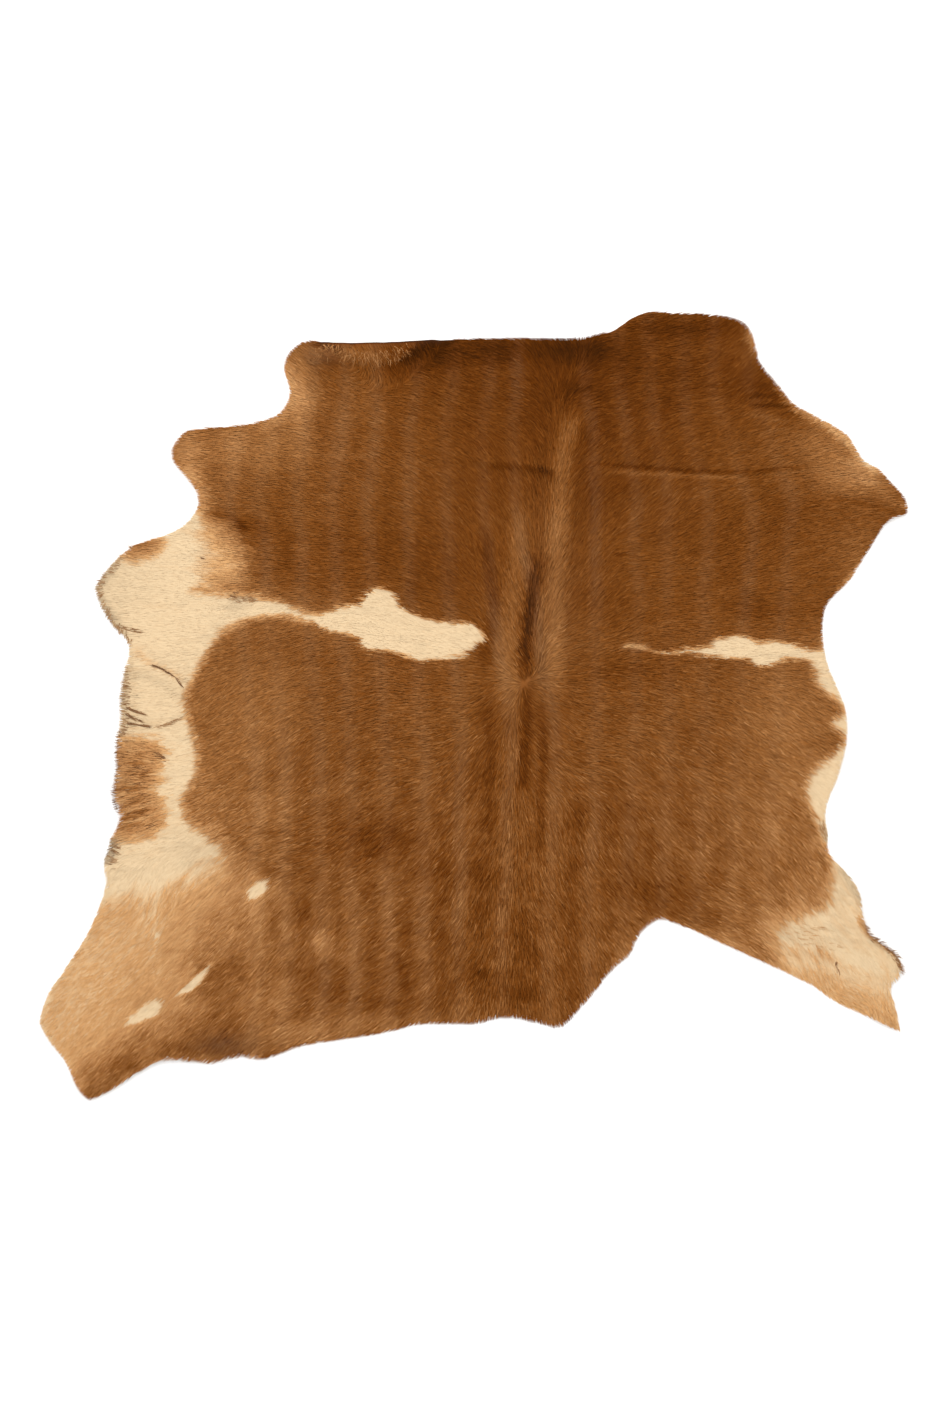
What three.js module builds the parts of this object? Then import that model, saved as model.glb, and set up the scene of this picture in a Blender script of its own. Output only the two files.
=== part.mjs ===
// A hair-on calfskin laid out flat with its hair side up, in millimetres.
// +X runs across the skin, +Y towards the neck and +Z up from the surface that it lies on.
// The origin is the centre of the skin's box, on that surface.

import * as THREE from "three";

// Driving dimensions
const LEATHER = 1.6; // thickness of the tanned skin
const PILE = 3.4; // depth of the hair that lies on it
const RIM_PILE = 0.8; // depth of that hair at the very edge
const RIM_ROUND = 16; // distance from the edge at which the hair has its full depth
const WAVE_HEIGHT = 0.5; // unevenness of the hair over the open field
const WAVE_LENGTH = { x: 140, y: 210 }; // across the skin and from neck to rump
const UNEVEN = { share: 0.15, length: 74 }; // a fold is higher and lower along its line
const HAIR_COLOUR = 0x82512a;

// Spacing of the points that carry the surface
const RIM_STEP = 9.5; // along the edge
const INSET = 7; // from the edge to the first ring of points inside it
const FOLD_STEP = 12; // along a fold
const FIELD_STEP = 25; // over the open field
const CLOSEST = { fold: 5.5, ring: 6, field: 15 }; // least distance of such a point to the earlier ones
const SHIFT = 0.4; // small shift that keeps four points from lying on one circle
const SHIFT_TURN = { x: 12.9, y: 78.2 }; // radians from one point's shift to the next one's
const FRAME_SHARE = 40; // size of the triangle that all triangles start from, in half sizes of the skin

// The edge, anticlockwise from the left corner of the neck. Each stretch is one smooth curve through
// its points, and a stretch meets the next one at a corner.
const EDGE = [
  { stretch: "neck, left side", points: [
    [-183, 401], [-197, 394], [-207, 380], [-208, 367], [-202, 350], [-204, 334], [-217, 318],
    [-246, 310], [-284, 306], [-314, 303],
  ] },
  { stretch: "left foreleg", points: [
    [-314, 303], [-326, 291], [-332, 276], [-323, 260], [-309, 244], [-302, 228], [-306, 211],
    [-323, 194], [-345, 185], [-371, 177],
  ] },
  { stretch: "left elbow", points: [[-371, 177], [-390, 162], [-406, 144], [-415, 129]] },
  { stretch: "left belly", points: [
    [-415, 129], [-408, 109], [-398, 91], [-380, 72], [-378, 54], [-384, 32], [-387, 6], [-386, -16],
    [-391, -43], [-390, -72], [-395, -93], [-387, -122], [-398, -148], [-405, -175], [-401, -192],
  ] },
  { stretch: "left thigh", points: [
    [-401, -192], [-412, -225], [-427, -256], [-450, -291], [-467, -317], [-477, -348],
  ] },
  { stretch: "left hind leg, cut end", points: [
    [-477, -348], [-466, -368], [-448, -392], [-434, -421], [-422, -434],
  ] },
  { stretch: "left hind leg, inner edge", points: [
    [-422, -434], [-395, -421], [-370, -404], [-342, -389], [-312, -390], [-288, -393],
  ] },
  { stretch: "rump, left", points: [
    [-288, -393], [-257, -385], [-230, -388], [-185, -373], [-125, -364], [-87, -357], [-59, -350],
    [2, -349], [40, -342], [79, -351], [95, -353], [104, -346],
  ] },
  { stretch: "rump, right", points: [
    [104, -346], [125, -324], [139, -306], [151, -291], [171, -274], [180, -255], [192, -241], [207, -233],
  ] },
  { stretch: "right hind leg, inner edge", points: [
    [207, -233], [226, -241], [302, -274], [372, -307], [395, -324], [430, -340], [470, -359],
  ] },
  { stretch: "right hind leg, cut end", points: [[470, -359], [463, -328], [457, -308]] },
  { stretch: "right thigh", points: [
    [457, -308], [467, -297], [469, -279], [451, -262], [436, -252], [427, -234], [425, -211], [417, -192],
    [403, -175], [387, -159],
  ] },
  { stretch: "right belly", points: [
    [387, -159], [390, -143], [386, -126], [389, -106], [400, -79], [409, -43], [410, -14], [405, 6],
    [389, 45], [384, 72], [384, 96], [391, 116], [412, 136], [424, 155], [438, 177], [453, 202],
    [459, 206],
  ] },
  { stretch: "right foreleg, under edge", points: [[459, 206], [477, 210]] },
  { stretch: "right foreleg, cut end", points: [[477, 210], [475, 225], [466, 237], [444, 262]] },
  { stretch: "right shoulder", points: [
    [444, 262], [432, 265], [422, 279], [413, 295], [398, 306], [370, 321], [351, 332], [336, 351],
    [321, 368], [312, 382],
  ] },
  { stretch: "neck, right corner", points: [
    [312, 382], [309, 399], [304, 413], [288, 425], [249, 430], [211, 432], [190, 434],
  ] },
  { stretch: "neck, cut edge", points: [
    [190, 434], [174, 427], [158, 416], [139, 409], [112, 404], [51, 404], [-37, 403], [-114, 400],
    [-183, 401],
  ] },
];

// The folds and lifted edges. The skin rises to `high` along a smooth line, falls off over `left` and
// `right` beside that line, seen from its start, and dies away over `fade` at its two ends.
const FOLDS = [
  { fold: "neck tuck", high: 8, left: 24, right: 9, fade: 40,
    line: [[-200, 384], [-150, 386], [-95, 387], [-55, 393], [-15, 403]] },
  { fold: "neck rim, right", high: 4, left: 30, right: 26, fade: 50,
    line: [[150, 440], [240, 436], [330, 424]] },
  { fold: "neck wrinkle, right", high: 3.5, left: 12, right: 22, fade: 35,
    line: [[250, 364], [300, 350], [358, 322]] },
  { fold: "shoulder crease, right", high: 7, left: 11, right: 40, fade: 60,
    line: [[100, 263], [146, 259], [206, 252], [282, 247], [350, 250], [415, 246], [520, 216]] },
  { fold: "shoulder crease, left", high: 4, left: 26, right: 9, fade: 40,
    line: [[-34, 271], [30, 268], [104, 254]] },
  { fold: "right foreleg roll", high: 2.5, left: 14, right: 34, fade: 90,
    line: [[300, 229], [400, 218], [560, 190]] },
  { fold: "spine, upper", high: 3.5, left: 20, right: 24, fade: 60,
    line: [[112, 350], [106, 281], [102, 226], [93, 160], [79, 94], [56, 10]] },
  { fold: "spine, lower", high: 1.8, left: 18, right: 18, fade: 60,
    line: [[62, 40], [52, -20], [42, -80], [38, -200], [41, -390]] },
  { fold: "left foreleg rim", high: 4, left: 36, right: 22, fade: 25,
    line: [[-330, 330], [-332, 272], [-310, 214]] },
  { fold: "left elbow rim", high: 4.5, left: 30, right: 24, fade: 25,
    line: [[-360, 205], [-408, 140], [-418, 128], [-404, 80]] },
  { fold: "left belly rim, upper", high: 7, left: 22, right: 40, fade: 30,
    line: [[-391, 72], [-390, 6], [-394, -60]] },
  { fold: "left belly rim, lower", high: 6, left: 20, right: 40, fade: 30,
    line: [[-396, -40], [-396, -110], [-410, -215]] },
  { fold: "left belly wrinkle", high: 4, left: 10, right: 14, fade: 35,
    line: [[-420, 52], [-360, 42], [-325, 24], [-296, -8]] },
  { fold: "left belly pleat", high: 3, left: 9, right: 11, fade: 30,
    line: [[-420, 6], [-380, -4], [-336, -18]] },
  { fold: "left hind leg roll", high: 8, left: 42, right: 36, fade: 60,
    line: [[-474, -444], [-400, -400], [-330, -372], [-225, -356]] },
  { fold: "left hind leg rim", high: 4, left: 34, right: 30, fade: 25,
    line: [[-462, -300], [-474, -348], [-460, -400]] },
  { fold: "right hind leg rim", high: 7, left: 40, right: 30, fade: 30,
    line: [[478, -318], [466, -280], [430, -240], [424, -200], [390, -155]] },
  { fold: "right hind leg end", high: 5, left: 36, right: 30, fade: 22,
    line: [[430, -352], [488, -324]] },
  { fold: "right belly rim", high: 3, left: 24, right: 30, fade: 40,
    line: [[398, 50], [410, -14], [396, -104]] },
];

// Rows of points that a fold is given, as shares of its fall on either side of the crest.
const FOLD_ROWS = [0, 0.5, -0.5, 1, -1];

/** A point's shift from its even place: a fixed wave, so that it is the same every time. */
const shifted = ([x, y], index) => [
  x + SHIFT * Math.sin(SHIFT_TURN.x * index),
  y + SHIFT * Math.sin(SHIFT_TURN.y * index),
];

/** The points along the edge, one RIM_STEP apart, anticlockwise and without a repeat. */
function rimPoints() {
  return EDGE.flatMap(({ points }) => {
    const curve = new THREE.SplineCurve(points.map(([x, y]) => new THREE.Vector2(x, y)));
    const steps = Math.max(1, Math.round(curve.getLength() / RIM_STEP));
    return curve.getSpacedPoints(steps).slice(0, steps).map(({ x, y }) => [x, y]);
  });
}

/** Distance from a point to the nearest of the edge's segments. */
function distanceToRim([x, y], rim) {
  let nearest = Infinity;
  rim.forEach(([x0, y0], i) => {
    const [x1, y1] = rim[(i + 1) % rim.length];
    const dx = x1 - x0;
    const dy = y1 - y0;
    const share = ((x - x0) * dx + (y - y0) * dy) / (dx * dx + dy * dy);
    const along = THREE.MathUtils.clamp(share, 0, 1);
    nearest = Math.min(nearest, Math.hypot(x - x0 - along * dx, y - y0 - along * dy));
  });
  return nearest;
}

/** Whether a point lies inside the edge: a ray from it crosses the edge an odd number of times. */
function isInside([x, y], rim) {
  let inside = false;
  rim.forEach(([x0, y0], i) => {
    const [x1, y1] = rim[(i + 1) % rim.length];
    if (y0 > y !== y1 > y && x < x0 + ((y - y0) / (y1 - y0)) * (x1 - x0)) inside = !inside;
  });
  return inside;
}

/** A fold's line as points one FOLD_STEP apart, each with the way that the line runs on from there. */
function foldPath({ line }) {
  const curve = new THREE.SplineCurve(line.map(([x, y]) => new THREE.Vector2(x, y)));
  const length = curve.getLength();
  const steps = Math.round(length / FOLD_STEP);
  const stops = Array.from({ length: steps + 1 }, (_, i) => {
    const at = i / steps;
    return { at: at * length, point: curve.getPointAt(at), run: curve.getTangentAt(at) };
  });
  return { length, stops };
}

const FOLD_PATHS = FOLDS.map((fold) => ({ ...fold, ...foldPath(fold) }));

/** How high one fold lifts the skin at a point: a squared cosine across it, eased out at its ends. */
function foldLift({ high, left, right, fade, length, stops }, x, y) {
  const offsets = stops.map(({ at, point, run }) => {
    const dx = x - point.x;
    const dy = y - point.y;
    return { away: Math.hypot(dx, dy), along: at + dx * run.x + dy * run.y, across: dy * run.x - dx * run.y };
  });
  const { along, across } = offsets.reduce((best, next) => (next.away < best.away ? next : best));
  const share = Math.abs(across) / (across > 0 ? left : right);
  if (share >= 1) return 0;
  const ends = THREE.MathUtils.smoothstep(Math.min(along, length - along), 0, fade);
  const uneven = 1 + UNEVEN.share * Math.sin((2 * Math.PI * along) / UNEVEN.length);
  return high * ends * uneven * Math.cos((Math.PI / 2) * share) ** 2;
}

/** How high the underside stands above the surface: nothing, but for the folds. */
const skinLift = (x, y) => FOLD_PATHS.reduce((sum, fold) => sum + foldLift(fold, x, y), 0);

/** Depth of the lying hair: thin at the edge, then full and a little uneven. */
function pileDepth(x, y, fromRim) {
  const wave = Math.sin((2 * Math.PI * x) / WAVE_LENGTH.x + Math.sin((2 * Math.PI * y) / WAVE_LENGTH.y));
  const full = PILE + WAVE_HEIGHT * wave;
  return THREE.MathUtils.lerp(RIM_PILE, full, Math.sin((Math.PI / 2) * Math.min(1, fromRim / RIM_ROUND)));
}

/** A ring of points just inside the edge, one for every second point of it. */
function ringPoints(rim) {
  return rim.filter((point, i) => i % 2 === 0).map(([x, y], i) => {
    const before = rim[(2 * i + rim.length - 1) % rim.length];
    const after = rim[(2 * i + 1) % rim.length];
    const length = Math.hypot(after[0] - before[0], after[1] - before[1]);
    const inward = [-(after[1] - before[1]) / length, (after[0] - before[0]) / length];
    return [x + INSET * inward[0], y + INSET * inward[1]];
  });
}

/** Rows of points along every fold, at its crest and down both of its sides. */
function foldPoints() {
  return FOLD_PATHS.flatMap(({ left, right, stops }) => FOLD_ROWS.flatMap((row) => {
    const across = row * (row > 0 ? left : right);
    return stops.map(({ point, run }) => [point.x - run.y * across, point.y + run.x * across]);
  }));
}

/** An even field of points in staggered rows over the whole of the skin's box. */
function fieldPoints(rim) {
  const box = new THREE.Box2().setFromPoints(rim.map(([x, y]) => new THREE.Vector2(x, y)));
  const rowGap = FIELD_STEP * Math.sqrt(0.75);
  const columns = Math.ceil((box.max.x - box.min.x) / FIELD_STEP) + 1;
  const rows = Math.ceil((box.max.y - box.min.y) / rowGap);
  return Array.from({ length: columns * rows }, (_, i) => {
    const row = Math.floor(i / columns);
    const stagger = (row % 2) / 2;
    return [box.min.x + ((i % columns) + stagger) * FIELD_STEP, box.min.y + row * rowGap];
  });
}

/** Adds the candidates that lie inside the edge and no closer than `gap` to it and to a kept point. */
function addPoints(kept, candidates, rim, gap) {
  candidates.forEach((candidate, i) => {
    const [x, y] = shifted(candidate, i);
    const crowded = kept.some(([kx, ky]) => Math.hypot(x - kx, y - ky) < gap);
    if (crowded || !isInside([x, y], rim) || distanceToRim([x, y], rim) < gap) return;
    kept.push([x, y]);
  });
}

/** A triangle of point numbers with the circle through its corners. */
function circledTriangle(points, a, b, c) {
  const [ax, ay] = points[a];
  const bx = points[b][0] - ax;
  const by = points[b][1] - ay;
  const cx = points[c][0] - ax;
  const cy = points[c][1] - ay;
  const turn = 2 * (bx * cy - by * cx);
  const ux = (cy * (bx * bx + by * by) - by * (cx * cx + cy * cy)) / turn;
  const uy = (bx * (cx * cx + cy * cy) - cx * (bx * bx + by * by)) / turn;
  return { corners: [a, b, c], x: ax + ux, y: ay + uy, radius: Math.hypot(ux, uy) };
}

/** Triangles over the points with no point inside any triangle's circle, added one point at a time. */
function triangulate(points) {
  const far = FRAME_SHARE * Math.max(...points.flat().map(Math.abs));
  const count = points.length;
  const all = [...points, [-far, -far], [far, -far], [0, far]];
  let triangles = [circledTriangle(all, count, count + 1, count + 2)];
  points.forEach(([x, y], index) => {
    const open = new Map();
    triangles = triangles.filter(({ corners, x: cx, y: cy, radius }) => {
      if (Math.hypot(x - cx, y - cy) >= radius) return true;
      corners.forEach((a, i) => {
        const b = corners[(i + 1) % 3];
        if (!open.delete(`${b} ${a}`)) open.set(`${a} ${b}`, [a, b]);
      });
      return false;
    });
    open.forEach(([a, b]) => triangles.push(circledTriangle(all, a, b, index)));
  });
  return triangles.map(({ corners }) => corners).filter((corners) => corners.every((i) => i < count));
}

/** The skin's closed shape: one set of triangles for its top and underside, and a wall along its edge. */
function hideGeometry() {
  const rim = rimPoints();
  const points = [...rim];
  addPoints(points, foldPoints(), rim, CLOSEST.fold);
  addPoints(points, ringPoints(rim), rim, CLOSEST.ring);
  addPoints(points, fieldPoints(rim), rim, CLOSEST.field);

  const faces = triangulate(points).filter((corners) => {
    const middle = [0, 1].map((axis) => corners.reduce((sum, i) => sum + points[i][axis] / 3, 0));
    return isInside(middle, rim);
  });
  const edges = new Set(faces.flatMap(([a, b, c]) => [`${a} ${b}`, `${b} ${c}`, `${c} ${a}`]));
  rim.forEach((_, i) => {
    if (!edges.has(`${i} ${(i + 1) % rim.length}`)) throw new Error(`the edge is open at point ${i}`);
  });

  const count = points.length;
  const under = points.map(([x, y]) => [x, y, skinLift(x, y)]);
  const top = under.map(([x, y, lift], i) => {
    const fromRim = i < rim.length ? 0 : distanceToRim([x, y], rim);
    return [x, y, lift + LEATHER + pileDepth(x, y, fromRim)];
  });
  const wall = rim.flatMap((_, i) => {
    const next = (i + 1) % rim.length;
    return [count + i, count + next, next, count + i, next, i];
  });
  const underFaces = faces.flatMap(([a, b, c]) => [count + a, count + c, count + b]);

  const geometry = new THREE.BufferGeometry();
  geometry.setAttribute("position", new THREE.Float32BufferAttribute([...top, ...under].flat(), 3));
  geometry.setIndex([...faces.flat(), ...underFaces, ...wall]);
  geometry.computeVertexNormals();
  return geometry;
}

const hair = new THREE.MeshStandardMaterial({ color: HAIR_COLOUR, roughness: 0.7, metalness: 0 });
const hide = new THREE.Mesh(hideGeometry(), hair);
hide.name = "hide";

const calfskin = new THREE.Group();
calfskin.add(hide);

export default calfskin;
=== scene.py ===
# %% [markdown]
# # A calfskin with its hair on
#
# The object is one tanned skin that lies flat on the floor with its hair side up. Three things make its
# look: a thin sheet of leather with soft folds, a coat of short hair that is combed outwards from the
# spine, and the brown and cream markings of that hair. The solid of the skin is loaded first. It gives
# the outline, and everything here is built inside it. Lengths are millimetres until a mesh is made.

import bpy
import numpy as np
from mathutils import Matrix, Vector
from mathutils.geometry import delaunay_2d_cdt


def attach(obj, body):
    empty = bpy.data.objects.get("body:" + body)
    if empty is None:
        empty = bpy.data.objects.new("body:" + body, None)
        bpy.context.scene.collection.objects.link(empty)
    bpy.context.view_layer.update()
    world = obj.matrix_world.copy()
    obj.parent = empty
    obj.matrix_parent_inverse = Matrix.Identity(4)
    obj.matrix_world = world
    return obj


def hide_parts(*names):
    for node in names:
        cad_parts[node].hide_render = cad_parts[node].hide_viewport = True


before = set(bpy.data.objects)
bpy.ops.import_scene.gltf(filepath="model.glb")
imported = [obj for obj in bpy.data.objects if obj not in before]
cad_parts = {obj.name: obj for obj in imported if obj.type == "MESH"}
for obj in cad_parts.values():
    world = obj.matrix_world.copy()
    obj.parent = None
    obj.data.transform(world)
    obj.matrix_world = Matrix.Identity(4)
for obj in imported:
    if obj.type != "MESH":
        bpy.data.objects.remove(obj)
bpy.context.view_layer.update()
MM = 0.001
LEATHER = 1.6

# %% [markdown]
# ## Helpers for soft forms
#
# A skin has no straight lines, so folds, markings and tones are all drawn from a few soft shapes: a smooth
# line through some points, a ridge that follows such a line, round patches and a patchy unevenness. Each of
# them works on whole arrays of places at once, which numpy does in a moment even for 200,000 locks.

# %% Smooth lines and ridges
PATH_STEP = 4.0
CUBIC_STEPS = 24


def eased(share):
    """A soft step from 0 to 1: three times the square less twice the cube."""
    share = np.clip(share, 0, 1)
    return share * share * (3 - 2 * share)


def past(values, start, width):
    """How far values are past `start`: 0 there, eased to 1 over `width`."""
    return eased((values - start) / width)


def smooth_line(points, step):
    """A smooth line as lengths so far, places one `step` apart and the way that it runs at each of them.

    Between two points it is the cubic that leaves each point along the line from the point before it to
    the point after it.
    """
    points = np.array(points, float)
    start, end = points[:-1], points[1:]
    leave = (end - np.vstack([points[:1], points[:-2]])) / 2
    arrive = (np.vstack([points[2:], points[-1:]]) - start) / 2
    share = np.linspace(0, 1, CUBIC_STEPS, endpoint=False)[:, None, None]
    cubic = (
        (2 * start - 2 * end + leave + arrive) * share**3
        + (3 * end - 3 * start - 2 * leave - arrive) * share**2
        + leave * share
        + start
    )
    places = np.vstack([cubic.swapaxes(0, 1).reshape(-1, 2), points[-1:]])
    so_far = np.append(0, np.cumsum(np.linalg.norm(np.diff(places, axis=0), axis=1)))
    lengths = np.linspace(0, so_far[-1], max(2, round(so_far[-1] / step) + 1))
    line = np.column_stack([np.interp(lengths, so_far, places[:, axis]) for axis in (0, 1)])
    run = np.gradient(line, axis=0)
    return lengths, line, run / np.linalg.norm(run, axis=1, keepdims=True)


def ridge(x, y, points, left, right, fade):
    """A long soft form: which places it touches, how strong it is there, and how far along they lie.

    It is 1 on a smooth line, falls as a squared cosine to 0 at `left` and `right` of it, and is eased out
    over `fade` at its two ends.
    """
    lengths, line, run = smooth_line(points, PATH_STEP)
    low = line.min(axis=0) - max(left, right)
    high = line.max(axis=0) + max(left, right)
    near = np.flatnonzero((x > low[0]) & (x < high[0]) & (y > low[1]) & (y < high[1]))
    dx = x[near, None] - line[:, 0]
    dy = y[near, None] - line[:, 1]
    nearest = np.argmin(dx * dx + dy * dy, axis=1)
    rows = np.arange(len(near))
    dx, dy, run = dx[rows, nearest], dy[rows, nearest], run[nearest]
    along = lengths[nearest] + dx * run[:, 0] + dy * run[:, 1]
    across = dy * run[:, 0] - dx * run[:, 1]
    share = np.clip(np.abs(across) / np.where(across > 0, left, right), 0, 1)
    ends = eased(np.minimum(along, lengths[-1] - along) / fade)
    return near, ends * np.cos(np.pi / 2 * share) ** 2, along


print("a soft step in quarters:", eased(np.linspace(0, 1, 5)).round(2))

# %% Unevenness, patches and distances
LATTICE = 256


def unevenness(x, y, size, seed):
    """Soft patches from -1 to 1: seeded numbers on a square lattice, eased from one corner to the next."""
    lattice = np.random.default_rng(seed).uniform(-1, 1, (LATTICE, LATTICE))
    column, row = np.floor(x / size).astype(int), np.floor(y / size).astype(int)
    right, up = eased(x / size - column), eased(y / size - row)
    corner = [
        [lattice[(column + i) % LATTICE, (row + j) % LATTICE] for j in (0, 1)] for i in (0, 1)
    ]
    lower = corner[0][0] * (1 - right) + corner[1][0] * right
    upper = corner[0][1] * (1 - right) + corner[1][1] * right
    return lower * (1 - up) + upper * up


def patches(x, y, table):
    """The sum of round soft patches: each is its change times a bell curve of its two radii."""
    total = np.zeros(x.shape)
    for middle_x, middle_y, radius_x, radius_y, change in table:
        total += change * np.exp(-(((x - middle_x) / radius_x) ** 2) - ((y - middle_y) / radius_y) ** 2)
    return total


def inside_distance(x, y, outline, reach):
    """How far places lie inside a closed outline, or below 0 outside it, up to `reach` either way.

    The nearest stretch of the outline gives the distance. A place is inside where the level line to its
    right crosses the outline an odd number of times.
    """
    nearest = np.full(x.shape, float(reach))
    inside = np.zeros(x.shape, bool)
    for (x0, y0), (x1, y1) in zip(outline, np.roll(outline, -1, axis=0)):
        band = np.flatnonzero((y > min(y0, y1) - reach) & (y < max(y0, y1) + reach))
        from_x, from_y = x[band] - x0, y[band] - y0
        run_x, run_y = x1 - x0, y1 - y0
        crosses = (from_y < 0) != (from_y < run_y)
        inside[band] ^= crosses & (from_x < from_y * (run_x / run_y if run_y else 0))
        share = np.clip((from_x * run_x + from_y * run_y) / (run_x**2 + run_y**2), 0, 1)
        away = np.hypot(from_x - share * run_x, from_y - share * run_y)
        nearest[band] = np.minimum(nearest[band], away)
    return np.where(inside, nearest, -nearest)


unit_square = np.array([(0, 0), (1, 0), (1, 1), (0, 1)], float)
middle = np.array([0.5])
print("from the middle of a unit square to its side:", inside_distance(middle, middle, unit_square, 1))

# %% [markdown]
# ## The outline
#
# The ragged outline of the skin is in the solid already, so it is read from there and not drawn twice. The
# sides that only one upward face of the solid has are its edge. They are chained into one loop, and each
# pass doubles the length of the chain, so nine passes are enough for some 400 points.

# %% Read the outline from the solid
UPWARD = 0.2


def open_sides(faces):
    """The sides of triangles that no second triangle shares, each from its start to its end."""
    sides = np.concatenate([faces[:, [0, 1]], faces[:, [1, 2]], faces[:, [2, 0]]]).astype(np.int64)
    count = faces.max() + 1
    shared = np.isin(sides[:, 0] * count + sides[:, 1], sides[:, 1] * count + sides[:, 0])
    return sides[~shared]


def solid_outline(node):
    """The edge of a solid's upper face as places in order, anticlockwise as seen from above."""
    mesh = node.data
    places = np.empty(3 * len(mesh.vertices))
    mesh.vertices.foreach_get("co", places)
    corners = np.empty(len(mesh.loops), np.int32)
    mesh.loops.foreach_get("vertex_index", corners)
    merged, which = np.unique(np.round(places.reshape(-1, 3) / MM, 2), axis=0, return_inverse=True)
    faces = which.reshape(-1)[corners].reshape(-1, 3)
    first, second, third = np.moveaxis(merged[faces], 1, 0)
    normal = np.cross(second - first, third - first)
    sides = open_sides(faces[normal[:, 2] > UPWARD * np.linalg.norm(normal, axis=1)])
    jump = np.arange(len(merged))
    jump[sides[:, 0]] = sides[:, 1]
    chain = sides[:1, 0]
    while len(chain) < len(sides):
        chain = np.concatenate([chain, jump[chain]])
        jump = jump[jump]
    return merged[chain[: len(sides)], :2]


outline = solid_outline(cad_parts["hide"])
print("outline:", len(outline), "points")

# %% [markdown]
# ## The folds
#
# The skin was folded to be stored, so it lies on the floor with a tuck at the neck, a long crease over each
# shoulder, a raised spine and edges that curl up at the belly and the legs. These are the folds of the
# solid and a few fine creases that only the leather has. A simulation could settle a cloth like this, but
# these folds have set in the leather, so they are given one by one.

# %% Folds and creases of the leather
UNEVEN_SHARE = 0.15
UNEVEN_LENGTH = 74

# name, height, fall to the left, fall to the right, fade at the ends, line
FOLDS = [
    ("neck tuck", 6, 24, 14, 40, [(-200, 384), (-150, 386), (-95, 387), (-55, 393), (-15, 403)]),
    ("neck rim, right", 4, 30, 26, 50, [(150, 440), (240, 436), (330, 424)]),
    ("neck wrinkle, right", 3.5, 12, 22, 35, [(250, 364), (300, 350), (358, 322)]),
    ("shoulder crease, right", 7, 11, 40, 60,
     [(100, 263), (146, 259), (206, 252), (282, 247), (350, 250), (415, 246), (520, 216)]),
    ("shoulder crease, left", 4, 26, 9, 40, [(-34, 271), (30, 268), (104, 254)]),
    ("right foreleg roll", 2.5, 14, 34, 90, [(300, 229), (400, 218), (560, 190)]),
    ("spine, upper", 3.5, 20, 24, 60,
     [(112, 350), (106, 281), (102, 226), (93, 160), (79, 94), (56, 10)]),
    ("spine, lower", 1.8, 18, 18, 60, [(62, 40), (52, -20), (42, -80), (38, -200), (41, -390)]),
    ("left foreleg rim", 4, 36, 22, 25, [(-330, 330), (-332, 272), (-310, 214)]),
    ("left elbow rim", 4.5, 30, 24, 25, [(-360, 205), (-408, 140), (-418, 128), (-404, 80)]),
    ("left belly rim, upper", 7, 22, 40, 30, [(-391, 72), (-390, 6), (-394, -60)]),
    ("left belly rim, lower", 6, 20, 40, 30, [(-396, -40), (-396, -110), (-410, -215)]),
    ("left belly wrinkle", 4, 10, 14, 35, [(-420, 52), (-360, 42), (-325, 24), (-296, -8)]),
    ("left belly pleat", 3, 9, 11, 30, [(-420, 6), (-380, -4), (-336, -18)]),
    ("left hind leg roll", 8, 42, 36, 60, [(-474, -444), (-400, -400), (-330, -372), (-225, -356)]),
    ("left hind leg rim", 4, 34, 30, 25, [(-462, -300), (-474, -348), (-460, -400)]),
    ("right hind leg rim", 7, 40, 30, 30,
     [(478, -318), (466, -280), (430, -240), (424, -200), (390, -155)]),
    ("right hind leg end", 5, 36, 30, 22, [(430, -352), (488, -324)]),
    ("right belly rim", 3, 24, 30, 40, [(398, 50), (410, -14), (396, -104)]),
    ("left hind leg crease", 1.2, 5, 7, 25, [(-350, -190), (-349, -250), (-351, -330)]),
    ("left belly crease, low", 1.5, 5, 6, 15, [(-385, -16), (-366, -22), (-350, -30)]),
]


def skin_lift(x, y):
    """How high the flesh side stands above the floor: the sum of the folds, each a little uneven."""
    lift = np.zeros(x.shape)
    for name, high, left, right, fade, line in FOLDS:
        near, form, along = ridge(x, y, line, left, right, fade)
        lift[near] += high * form * (1 + UNEVEN_SHARE * np.sin(2 * np.pi * along / UNEVEN_LENGTH))
    return lift


print("folds and creases:", len(FOLDS))

# %% [markdown]
# ## The way the hair lies
#
# A calf's hair parts along the spine and runs out to the flanks. Above a small whorl in the middle of the
# back it leans towards the neck, and below it towards the rump. A comb brush could lay it by hand, but a
# table can be read and changed: each stroke is a place and a heading, 0 to the right and 90 to the neck,
# and every hair follows the strokes near it.

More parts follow.
